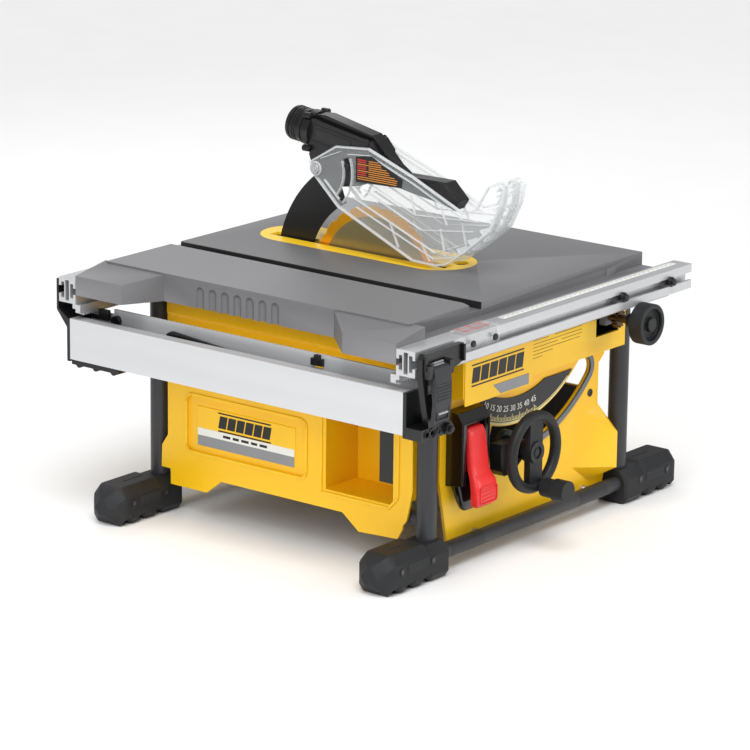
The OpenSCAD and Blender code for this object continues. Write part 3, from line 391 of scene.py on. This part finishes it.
# ---------- parts that keep their CAD shape ----------
EDGES = {
    "table_top": 2.2, "throat_plate": 0.5, "trunnions": 0.8, "rail_guides": 0.6,
    "leg_front_left": 0.4, "leg_front_right": 0.4, "leg_rear_left": 0.4, "leg_rear_right": 0.4,
    "tube_front": 0.4, "tube_rear": 0.4, "tube_left": 0.4, "tube_right": 0.4,
    "frame_screws": 0.6, "housing_front": 1.4, "housing_left": 1.2, "housing_right": 1.0, "housing_rear": 1.0,
    "bevel_scale": 0.4, "slot_rim": 0.8, "control_module": 1.5, "battery_dock": 0.5,
    "dust_port": 0.8, "rail_front": 0.35, "rail_rear": 0.35, "scale_cursor": 0.6, "pinion_shaft": 0.25,
    "rail_knob": 1.4, "fence_face": 0.5, "fence_beam": 0.5, "fence_head_front": 1.0, "fence_head_rear": 1.0,
    "push_stick": 1.2, "start_button": 0.7, "bevel_carriage": 1.0, "riving_knife": 0.3, "guard_body": 1.6,
    "lift_carriage": 1.2, "motor": 0.8, "gear_case": 1.5, "dust_shroud": 0.5, "arbor": 0.4, "saw_blade": 0.15,
    "blade_flanges": 0.5, "height_wheel": 0.8, "crank_handle": 1.8, "lead_screw": 0.4, "bevel_lever": 1.5,
    "shield_pin": 0.7, "latch_front": 0.9, "switch_box": 1.2,
    "shield_left": 0.5, "shield_right": 0.5,
}
OTHER_FINISH = {"saw_blade": "blade", "fence_face": "fence_aluminium", "fence_beam": "fence_aluminium",
                "switch_box": "gloss_black", "latch_front": "latch_grey",
                "scale_cursor": "clear_plastic", "frame_screws": "dark_steel",
                "pinion_shaft": "bronze"}
SLOT_OF = {row["node"]: row["material_slot"] for row in frame["record"]["subparts"]}
for part, width in EDGES.items():
    soft(part, OTHER_FINISH.get(part, SLOT_OF[part]), width,
         segments=3 if width > 1 else 2)


# ---------- bevel scale ----------
def scale_angle(degree):
    """Where a number of degrees stands on the scale, as an angle right of straight down."""
    return -36 + 1.046 * degree


def bevel_scale_marks():
    """The scale's edge lines, its ticks and its numbers, all on the front wall."""
    rule = Build()
    rule.prism("y", pivot_band(177.5, 180.5, -30, 37), FRONT - 0.5, FRONT + 0.2)
    rule.prism("y", pivot_band(174.8, 175.6, -28, 36), FRONT - 2.3, FRONT - 1.9)
    rule.done("scale_line", "stand", "cream_print", 0)
    ticks = Build()
    for degree in range(8, 47):
        a = scale_angle(degree)
        r0 = 167.5 if degree % 5 == 0 else 170.5
        p0, p1 = pivot_point(r0, a), pivot_point(174.5, a)
        side = Vector((p1[1] - p0[1], p0[0] - p1[0])).normalized() * 0.5
        p0, p1 = Vector(p0), Vector(p1)
        ticks.prism("y", [tuple(p0 - side), tuple(p0 + side), tuple(p1 + side), tuple(p1 - side)],
                    FRONT - 2.3, FRONT - 1.9)
    ticks.done("scale_ticks", "stand", "cream_print", 0)
    for degree in range(10, 50, 5):
        a = scale_angle(degree)
        x, z = pivot_point(160, a)
        number(str(degree), 11, (x, FRONT - 2.1, z), a, "stand", f"scale_number_{degree}", "white_print")


bevel_scale_marks()


# ---------- labels, all plain ----------
def blocks(axis, left, right, low, high, slant, count, a, b):
    """A plain mark: slanted blocks between two lines."""
    step = (right - left) / count
    mark = Build()
    for i in range(count):
        x0 = left + i * step
        x1 = x0 + step * 0.86
        mark.prism(axis, [(x0, low), (x1, low), (x1 + slant, high), (x0 + slant, high)], a, b)
    for z in (low - 4.5, high + 2.7):
        mark.prism(axis, [(left, z), (right, z), (right, z + 1.8), (left, z + 1.8)], a, b)
    return mark


def labels():
    """Plain stand-ins for the labels of the front, the left side and the front tube."""
    Build().prism("y", round_box(-153, 204, -16, 268, 3), BAND - 1.4, BAND + 0.5) \
        .done("front_panel", "stand", "housing_yellow", 0.6, slot="housing_yellow")
    blocks("y", -140, -33, 231, 250, 3, 6, BAND - 1.7, BAND - 1.3) \
        .done("front_mark", "stand", "black_print_and_painted_shade", 0)
    Build().prism("y", [(-96, 220), (-22, 220), (-22, 206.5), (-80, 206.5)], BAND - 2.0, BAND - 1.0) \
        .done("front_grey_plate", "stand", "grey_plate", 0.3)
    # thin lines in place of the data text, under one thicker line
    data = Build()
    data.box((-12, BAND - 0.25, 262), (2, BAND + 0.1, 263.6))
    for z, spans in ((258, ((-12, 20), (34, 92))), (253.5, ((-12, 92),)), (249, ((-12, 40), (48, 92))),
                     (244.5, ((-12, 88),)), (240, ((-12, 30),)), (235.5, ((-12, 8),))):
        for x0, x1 in spans:
            data.box((x0, BAND - 0.25, z), (x1, BAND + 0.1, z + 0.5))
    data.done("data_lines", "stand", "black_print_and_painted_shade", 0)
    # side label: a plain mark over a white strip and a grey one
    plate = LEFT + 1.0
    blocks("x", 108, 22, 127, 143, -3, 6, plate - 0.35, plate + 0.2) \
        .done("side_mark", "stand", "black_print_and_painted_shade", 0)
    for name, z0, z1, mat in (("white", 112.5, 122, "white_print"), ("grey", 99, 112.5, "grey_plate")):
        Build().prism("x", round_box(-16, z0, 142, z1, 1.0), plate - 0.3, plate + 0.2) \
            .done(f"side_strip_{name}", "stand", mat, 0)
    lines = Build()
    for y0, y1 in ((100, 88), (84, 74), (70, 58), (54, 44), (40, 28)):
        lines.box((plate - 0.5, y1, 115.5), (plate - 0.2, y0, 118.8))
    lines.done("side_strip_marks", "stand", "black_print_and_painted_shade", 0)
    # wraps on the front tube
    for i, (x0, x1) in enumerate(((-173, -106), (98, 158))):
        wrap = Build().ring("x", 9.4, 9.75, x0, x1, (-224, 26), 40)
        wrap.done(f"tube_wrap_{i}", "stand", "latch_grey", 0.1)


labels()


# ---------- rail fittings ----------
def rail_fittings():
    """Screws and slots of the front rail, the lines of its cursor and its tape."""
    y = RAIL_F - RAIL_D
    screws = Build()
    slots = Build()
    for x in (109, 215):
        slots.prism("y", round_box(x - 22, 296, x + 5, 303.5, 3.6), y - 0.5, y + 0.5)
        screws.lathe("y", [(0, y - 9), (3.4, y - 9), (4.6, y - 8), (4.6, y - 4.5), (6.6, y - 4),
                           (6.6, y - 0.8), (5, y - 0.4), (0, y - 0.4)], (x, 299.5), 28)
    for x in (-206, -162):
        screws.lathe("y", [(0, y - 6), (3.2, y - 6), (4.4, y - 5), (4.4, y - 3.2), (0, y - 3.2)],
                     (x, 303), 24)
    screws.done("rail_screws", "rails", "black_plastic", 0.3, slot="black_plastic")
    slots.done("rail_slots", "rails", "black_plastic", 0.2, slot="black_plastic")
    # red hair lines of the cursor
    lines = Build()
    for k in range(3):
        lines.box((-208 + 20 * k, RAIL_F - 26, 317.0), (-207 + 20 * k, RAIL_F - 5, 317.25))
    for yy in (-274, -262):
        lines.box((-214, yy, 317.0), (-156, yy + 0.9, 317.25))
    lines.done("cursor_lines", "rails", "red_print", 0)
    # fence scale along the top of the front rail
    tape = Build()
    tape.box((-120, RAIL_F - 14, 313.9), (250, RAIL_F - 4, 314.15))
    tape.done("rail_tape", "rails", "white_print", 0)
    marks = Build()
    for k in range(74):
        x = -118 + 5 * k
        marks.box((x, RAIL_F - (12 if k % 2 == 0 else 9), 314.1), (x + 0.5, RAIL_F - 5, 314.3))
    marks.done("rail_tape_marks", "rails", "black_print_and_painted_shade", 0)


rail_fittings()


# ---------- guard ----------
# side outlines in Y and Z: a whole shield, and its nose
SHIELD_EDGE = [(109, 440), (67, 465), (15, 469), (-56, 443), (-134, 409), (-155, 416), (-173, 447),
               (-187, 454.5), (-196.5, 448), (-192, 426), (-176.5, 393), (-139, 361), (-109, 340), (-94, 336),
               (-56, 337), (63, 388), (102, 424)]
NOSE = [(-187, 454), (-195, 447), (-192, 426), (-185, 409), (-176, 393), (-158, 377), (-139, 361),
        (-124, 350)]


def shield_details(side, body, x0, x1, nose):
    """Raised rims, ribs and a ribbed nose on a clear shield that lies between x0 and x1."""
    # the rims, ribs and bosses are drawn in whiter plastic: a painted highlight for their bright edges
    rim = Build()
    rim.path("x", SHIELD_EDGE, 2.0, x0 - 1.1, x1 + 1.1, closed=True)
    rim.path("x", arc(*HINGE, 44, 160, 222, 12), 1.2, x0 - 0.9, x1 + 0.9)
    rim.path("x", arc(*HINGE, 58, 160, 222, 12), 1.2, x0 - 0.9, x1 + 0.9)
    for line in ([(92, 447), (60, 460)], [(86, 420), (62, 398)],
                 [(48, 458), (14, 461), (-56, 435), (-134, 401)],
                 [(40, 404), (-92, 352), (-128, 366)], [(34, 392), (-90, 344), (-118, 350)],
                 [(22, 416), (-70, 378), (-150, 388)], [(14, 425), (-60, 396), (-160, 402)],
                 [(-52, 420), (-60, 396)], [(-70, 362), (-84, 340)], [(-20, 381), (-34, 350)],
                 [(-100, 412), (-110, 390)], [(-100, 384), (-108, 350)]):
        rim.path("x", line, 1.1, x0 - 0.8, x1 + 0.8)
    rim.done(f"shield_rim_{side}", body, "clear_rim_and_highlight", 0.35, slot="clear_plastic")
    # a cross rib on each edge of the nose, and two ribs that follow its outline
    ribs = Build()
    xa, xb = sorted((x0, nose))
    for (y0, z0), (y1, z1) in zip(NOSE, NOSE[1:]):
        along = Vector((y1 - y0, z1 - z0)).normalized()
        inward = Vector((-along.y, along.x))
        p = Vector((y0 + (y1 - y0) * 0.45, z0 + (z1 - z0) * 0.45))
        ribs.prism("x", [tuple(p), tuple(p + inward * 9), tuple(p + inward * 9 + along * 1.8),
                         tuple(p + along * 1.8)], xa, xb)
    for x in (xa + 0.36 * (xb - xa), xa + 0.7 * (xb - xa)):
        inner = [(y + 7, z - 1) for y, z in NOSE]
        ribs.prism("x", NOSE + inner[::-1], x - 0.9, x + 0.9)
    ribs.done(f"shield_nose_{side}", body, "clear_rim_and_highlight", 0.3, slot="clear_plastic")
    boss = Build()
    boss.ring("x", 6.4, 9.4, *((x0 - 1.6, x0) if side == "left" else (x1, x1 + 1.6)), HINGE, 40)
    boss.done(f"shield_boss_{side}", body, "clear_rim_and_highlight", 0.4, slot="clear_plastic")


def guard_details():
    """The shields' ribs, the label's lines, and the fine pieces of the duct and the arm."""
    shield_details("left", "left_shield", -32.5, -30.1, -13)
    shield_details("right", "right_shield", 12.1, 14.5, -5)
    # label on the left shield: a dark plate with plain coloured lines
    Build().prism("x", [(34, 425), (34, 457), (10, 461), (-40, 438), (-39, 427)], -33.6, -32.4) \
        .done("guard_label", "left_shield", "black_print_and_painted_shade", 0.2)
    reds, golds = Build(), Build()
    for row in range(10):
        z = 453.5 - 2.7 * row
        near = 31
        far = max(-36, -2 - 4.4 * row)
        if row in (0, 1, 3, 4, 6, 7):
            reds.box((-33.8, near - 14, z), (-33.5, near, z + 1.3))
            golds.box((-33.8, far, z), (-33.5, near - 18, z + 0.9))
        else:
            golds.box((-33.8, far + 4, z), (-33.5, near, z + 0.9))
    reds.done("guard_label_red", "left_shield", "red_print", 0)
    golds.done("guard_label_lines", "left_shield", "orange_print", 0)
    # ribs and collar screws of the dust duct
    duct = Build()
    y0, z0 = 152, 482.6
    for start, width, r in ((-2, 3, 22.9), (-9, 1.5, 22.7), (-13, 1.5, 22.7), (-20, 4, 23.0)):
        duct.ring("y", 21.5, r, y0 + start - width, y0 + start, (-9, z0), 56)
    duct.turned((-9, y0, z0), "X", 8)
    duct.done("duct_ribs", "tilt", "black_plastic", 0.4, slot="black_plastic")
    ears = Build()
    for x, z in ((-27, 498), (9, 498), (-29, 456), (11, 456)):
        ears.cyl("y", 4.2, 112, 123, (x, z), 24)
        ears.cyl("y", 2.2, 111, 124.4, (x, z), 16)
    ears.done("duct_screws", "tilt", "black_plastic", 0.5, slot="black_plastic")
    # side panels, ridge and screws of the arm
    arm = Build()
    for x0, x1 in ((-27.9, -26.8), (8.8, 9.9)):
        arm.path("x", [(110, 488), (28, 474), (18, 472), (9, 461)], 1.8, x0, x1)
        arm.path("x", [(110, 466), (60, 458)], 1.8, x0, x1)
        arm.prism("x", [(104, 470), (104, 483), (48, 474), (48, 463)], x0 + 0.3, x1 - 0.3)
    arm.done("arm_ribs", "tilt", "black_plastic", 0.35, slot="black_plastic")
    screws = Build()
    for x0, x1 in ((-28.6, -27), (9, 10.6)):
        screws.cyl("x", 4.4, x0, x1, (22, 476), 26)
    screws.done("arm_screws", "tilt", "black_plastic", 0.7, slot="black_plastic")
    lever = Build()
    for x0, x1 in ((-19.8, -18.8), (0.8, 1.8)):
        lever.path("x", [(-40, 436), (-96, 437), (-116, 419), (-111, 411), (-94, 415.5), (-42, 425)],
                   2.2, x0, x1, closed=True)
    lever.done("lever_rim", "tilt", "black_plastic", 0.4, slot="black_plastic")
    heads = Build()
    for x0, x1 in ((-37.6, -36.7), (18.6, 19.5)):
        heads.cyl("x", 4.0, x0, x1, HINGE, 6)
    heads.done("hinge_heads", "guard_pin", "steel", 0.3, slot="steel")


guard_details()


# ---------- fence, latch and switch ----------
def smooth_loft(sections, n=32):
    """Rounded sections, each (z, x centre, y centre, width, depth, corner power), joined down the list."""
    points = []
    for z, cx, cy, width, depth, power in sections:
        for k in range(n):
            a = 2 * math.pi * k / n
            c, d = math.cos(a), math.sin(a)
            points.append((cx + width / 2 * math.copysign(abs(c) ** power, c),
                           cy + depth / 2 * math.copysign(abs(d) ** power, d), z))
    return Build().skin(points, n)


def switch_pieces():
    """The stop paddle, a rounded bar that widens into a ribbed pad, and its box."""
    bar = smooth_loft([(175.5, -128, -226, 22, 8, 0.6), (173.5, -128, -228, 31, 13, 0.5),
                       (166, -128, -230, 34, 14, 0.4), (145, -128, -233.5, 34, 13, 0.4),
                       (122, -128.5, -237.5, 34, 12, 0.4), (116, -129.5, -241, 36, 12, 0.4),
                       (109, -130.3, -246, 40, 15, 0.4), (98, -130.5, -248.3, 41, 15, 0.36),
                       (85, -130.5, -248.3, 41, 15, 0.36), (80, -130.5, -247, 39, 13, 0.4),
                       (77.5, -130.5, -246, 32, 9, 0.5)])
    bar.done("paddle_bar", "paddle", "red_plastic", 0, slot="red_plastic", replaces=("stop_paddle",),
             angle=50)
    ribs = Build()
    ribs.path("y", round_box(-147, 83, -114, 104, 4), 1.6, -256.7, -255.2, closed=True)
    for i in range(3):
        ribs.box((-143, -256.7, 87 + 4.8 * i), (-118, -255.2, 88.8 + 4.8 * i))
    ribs.done("paddle_ribs", "paddle", "red_plastic", 0.5, slot="red_plastic")
    pin = Build().cyl("x", 3, -151.5, -104.5, (-222, 172), 24)
    pin.done("paddle_pin", "paddle", "dark_steel", 0.3, slot="steel")
    # rim, back plate details and the lip below the pad
    box = Build()
    box.path("y", [(-154, 104), (-154, 181), (-102, 181), (-102, 104)], 1.8, -234.2, -232.4)
    box.box((-140, -213, 183), (-120, -210, 190))
    for z in (112, 128, 144, 160):
        box.box((-148, -214, z), (-145, -209, z + 8))
    box.done("switch_rim", "stand", "gloss_black", 0.4, slot="black_plastic")
    lip = smooth_loft([(101, -129, -218, 44, 18, 0.4), (92, -129, -221, 43, 16, 0.4),
                       (80, -129, -224, 40, 13, 0.45), (72, -129, -225, 34, 10, 0.5),
                       (69, -129, -225, 26, 6, 0.6)])
    lip.done("switch_lip", "stand", "gloss_black", 0, slot="black_plastic", angle=50)


def front_fittings():
    """Small pieces of the front latch, the fence heads and the fence's inner side."""
    # grip ribs down the latch lever, its pin, and the striped clip in its window
    latch = Build()
    x0, x1 = FENCE_X + 14, FENCE_X + 40
    for i in range(6):
        z = 273 - 3.8 * i
        latch.box((x0, -303.9, z), (x1, -302.4, z + 1.8))
    latch.path("y", [(x0, 248), (x0 + 3, 231), (x1 - 3, 231), (x1, 248)], 1.6, -302.6, -299)
    latch.done("latch_ribs", "front_latch", "latch_grey", 0.4, slot="grey_rubber")
    Build().cyl("x", 1.7, x0 + 4, x1 - 4, (-301.3, 239), 16) \
        .done("latch_pin", "front_latch", "steel", 0.3, slot="steel")
    clip = Build()
    for i in range(4):
        clip.box((x0 + 3, -297.6 + 0.9 * i, 291 + 2.6 * i), (x1 - 4, -295.2 + 0.9 * i, 292.8 + 2.6 * i))
    clip.done("latch_clip", "front_latch", "grey_plate", 0.3)
    # rings and bolt on the head's lower bar
    bar = Build()
    for x, r in ((FENCE_X + 10, 5.0), (FENCE_X + 21, 6.6), (FENCE_X + 33, 4.2)):
        bar.ring("y", r - 1.5, r, -292.2, -290.6, (x, 213.5), 28)
    bar.done("head_rings", "fence", "black_plastic", 0.3, slot="black_plastic")
    bolt = Build()
    bolt.cyl("y", 7, -296, -285, (FENCE_X + 50, 213.5), 28)
    bolt.lathe("y", [(0, -300), (3.2, -300), (4.4, -299), (4.4, -295), (0, -295)], (FENCE_X + 50, 213.5), 6)
    bolt.done("head_bolt", "fence", "black_plastic", 0.5, slot="black_plastic")
    # clip and hook on the inside of the stowed fence
    holds = Build()
    holds.prism("x", [(-112, 259), (-112, 268), (-107, 268), (-107, 272.5), (-99, 272.5), (-99, 268),
                      (-94, 268), (-94, 259)], -279, -272.5)
    holds.ring("x", 3.6, 7, -279.5, -272.8, (222, 259), 28)
    holds.cyl("x", 4, -279.0, -278.0, (222, 259), 28)
    holds.done("fence_holds", "fence", "black_plastic", 0.5, slot="black_plastic")


def knob_cap():
    """The screw cap in the middle of the rail knob."""
    cap = Build()
    cap.lathe("y", [(0, -300.5), (6.5, -300.5), (7.5, -299.5), (7.5, -296), (0, -296)], KNOB, 32)
    for a in range(0, 360, 60):
        cap.cyl("y", 0.9, -300.9, -300.0, (KNOB[0] + 4.5 * math.cos(math.radians(a)),
                                           KNOB[1] + 4.5 * math.sin(math.radians(a))), 12)
    cap.done("knob_cap", "knob", "black_plastic", 0.3, slot="black_plastic")


front_fittings()
switch_pieces()
knob_cap()


# ---------- housing, table and feet ----------
def housing_details():
    """Raised ridges of the left wall, dark linings and faces of painted shade, and the heads of screws and
    bolts.
    """
    ridge = Build()
    ridge.path("x", round_box(-36, 88, 160, 164, 10), 4, LEFT - 2, LEFT + 0.5, closed=True)
    ridge.path("x", [(-180, 204), (-180, 92), (-166, 77), (-60, 77), (-60, 204)], 4, LEFT - 2, LEFT + 0.5)
    ridge.done("side_ridges", "stand", "housing_yellow", 0.9, slot="housing_yellow")
    # black linings behind the pinion notch and inside the right wall: painted shade, standing in for inner
    # parts
    lining_and_shade = Build()
    lining_and_shade.prism("y", [(120, 233), (184, 233), (184, 292), (156, 292)] + arc(149, 259, 7, 0, -180, 10)
                + [(142, 292), (120, 292)], -203.5, -201.5)
    lining_and_shade.box((171.5, -231.5, 234), (173.6, -203.5, 292))
    lining_and_shade.box((122, -231.5, 233), (173.6, -203.5, 235))
    lining_and_shade.done("notch_lining_and_shade", "stand", "black_plastic", 0.2, slot="black_plastic")
    shroud = Build()
    shroud.box((176.6, -90, 46), (177.8, 186, 292))
    shroud.box((176.6, -190, 62), (177.8, -90, 148))
    shroud.done("inner_lining_and_shade", "stand", "black_plastic", 0.3, slot="black_plastic")
    # painted shade: a dark bottom under the finger hole of the insert
    Build().cyl("z", 10.6, 324.2, 325.4, (20, -94), 32).done("finger_hole_painted_shade", "stand", "black_print_and_painted_shade", 0)
    # painted shadow: a dark face along one wall of the mitre slot
    Build().box((-122.2, -232, 320.8), (-121.3, 249, 329.3)) \
        .done("mitre_shadow_wall", "stand", "black_print_and_painted_shade", 0)
    hole = Build()
    hole.ring("y", 2.6, 5.2, FRONT - 0.9, FRONT + 0.3, (148, 154), 28)
    hole.cyl("y", 2.7, FRONT - 0.3, FRONT + 0.2, (148, 154), 24)
    hole.done("panel_screw", "stand", "black_plastic", 0.2, slot="black_plastic")
    domes = Build()
    for x, z in ((-96, 27), (136, 28)):
        domes.lathe("y", [(0, -214.5), (2.5, -214.2), (4.6, -213), (5.6, -211), (5.6, -208), (0, -208)],
                    (x, z), 28)
    domes.done("frame_bolt_domes", "stand", "steel", 0.2, slot="steel")


def foot_shape(name, sx, sy):
    """One rubber foot: eight-sided, scalloped below, with an outer end that tapers on every side."""
    scallops, radius = (30, 62, 90), 9
    # distance out from the leg, half the width, and the height of the top
    stations = [(-14, 23, 44), (-11, 27, 46), (20, 27, 46)]
    for u in range(21, 94, 3):
        stations.append((u, 27, min(50, 46 + max(0, u - 24) * 0.6)))
    stations += [(96, 26.2, 49.4), (99, 25, 48), (105, 20, 43), (111.6, 12.5, 36)]
    points = []
    for u, half, top in stations:
        low = max([math.sqrt(max(0, radius ** 2 - (u - c) ** 2)) - 3 for c in scallops] + [0])
        low = max(low, (u - 99) * 1.1)
        for v, z in ((-half, low + 8), (-half + 6, low), (half - 6, low), (half, low + 8), (half, top - 13),
                     (half - 10, top), (-half + 10, top), (-half, top - 13)):
            points.append((sx * (LEG_X + u), sy * LEG_Y + v, z))
    Build().skin(points, 8).done(name + "_rubber", "stand", "foot_plastic", 1.6, slot=SLOT_OF[name],
                                 replaces=(name,), angle=24)


def feet_details():
    """The feet, with their screws, a raised plate on each side and a ridge along the top."""
    for name, sx, sy in (("foot_front_left", -1, -1), ("foot_front_right", 1, -1), ("foot_rear_left", -1, 1),
                         ("foot_rear_right", 1, 1)):
        foot_shape(name, sx, sy)
    screws, rings = Build(), Build()
    for sx in (-1, 1):
        for y in (-LEG_Y - FOOT_HALF, -LEG_Y + FOOT_HALF, LEG_Y - FOOT_HALF, LEG_Y + FOOT_HALF):
            for u in (19, 80):
                screws.cyl("y", 3.0, y - 0.35, y + 0.35, (sx * (LEG_X + u), 28), 20)
                rings.ring("y", 3.4, 5.6, y - 0.8, y + 0.8, (sx * (LEG_X + u), 28), 28)
    screws.done("foot_screw_heads", "stand", "dark_steel", 0.1, slot="steel")
    rings.done("foot_screw_rings", "stand", "black_plastic", 0.3, slot="black_plastic")
    plates, ridges = Build(), Build()
    for sx in (-1, 1):
        for sy in (-1, 1):
            for side in (-1, 1):
                y = sy * LEG_Y + side * FOOT_HALF
                x0, x1 = sorted((sx * (LEG_X + 30), sx * (LEG_X + 70)))
                plates.prism("y", round_box(x0, 23, x1, 35, 3), *sorted((y - side * 0.5, y + side * 0.7)))
                for i in range(6):
                    x = x0 + 5 + 6 * i
                    plates.prism("y", [(x - 1.2, 26), (x + 0.6, 26), (x + 1.8, 32), (x, 32)],
                                 *sorted((y, y + side * 1.1)))
            x0, x1 = sorted((sx * (LEG_X + 36), sx * (LEG_X + 70)))
            ridges.box((x0, sy * LEG_Y - 1.2, 48), (x1, sy * LEG_Y + 1.2, 50.8))
    plates.done("foot_plates", "stand", "foot_plastic", 0.4, slot="foot_plastic")
    ridges.done("foot_ridges", "stand", "foot_plastic", 0.5, slot="foot_plastic")


housing_details()
feet_details()


# ---------- camera, light and floor ----------
def studio():
    """A pale floor and world, one soft sun, three large lamps and the camera."""
    scene = bpy.context.scene
    floor_mat = material("floor", (244, 244, 244), 0.6, vary=0.004, grain=0.02)
    mesh = bpy.data.meshes.new("floor")
    mesh.from_pydata([(-30, -30, 0), (30, -30, 0), (30, 30, 0), (-30, 30, 0)], [], [(0, 1, 2, 3)])
    floor = bpy.data.objects.new("floor", mesh)
    floor.location.z = -0.0005
    mesh.materials.append(floor_mat)
    scene.collection.objects.link(floor)
    world = bpy.data.worlds.new("studio")
    world.use_nodes = True
    world.node_tree.nodes["Background"].inputs["Color"].default_value = (1, 1, 1, 1)
    world.node_tree.nodes["Background"].inputs["Strength"].default_value = 0.42
    scene.world = world

    def area(name, place, target, size, power):
        light = bpy.data.lights.new(name, "AREA")
        light.shape = "RECTANGLE"
        light.size, light.size_y = size
        light.energy = power
        obj = bpy.data.objects.new(name, light)
        obj.location = place
        obj.rotation_euler = (Vector(target) - Vector(place)).to_track_quat("-Z", "Y").to_euler()
        scene.collection.objects.link(obj)

    sun = bpy.data.lights.new("sun", "SUN")
    sun.energy = 2.1
    sun.angle = math.radians(35)
    turned = bpy.data.objects.new("sun", sun)
    turned.rotation_euler = Vector((0.42, 0.38, -1)).to_track_quat("-Z", "Y").to_euler()
    scene.collection.objects.link(turned)
    area("key", (-1.9, -0.5, 1.1), (0, 0, 0.25), (1.2, 1.2), 16)
    area("front", (0.7, -2.1, 1.0), (0, 0, 0.25), (1.2, 0.8), 12)
    area("rim", (0.9, 1.7, 1.6), (0, 0, 0.35), (2.0, 1.2), 9)

    # the camera stands far off, in front of the saw's left corner, with a long lens
    right = Vector((0.62001, -0.78451, 0.01111))
    up = Vector((0.20132, 0.17276, 0.96417))
    ahead = Vector((0.75833, 0.59556, -0.26505))
    cam = bpy.data.cameras.new("camera")
    cam.lens = 182.2
    cam.sensor_width = 36
    obj = bpy.data.objects.new("camera", cam)
    turn = Matrix((right, up, -ahead)).transposed().to_4x4()
    obj.matrix_world = Matrix.Translation((-3.701, -2.881, 1.460)) @ turn
    scene.collection.objects.link(obj)
    scene.camera = obj
    scene.view_settings.view_transform = "Standard"


studio()
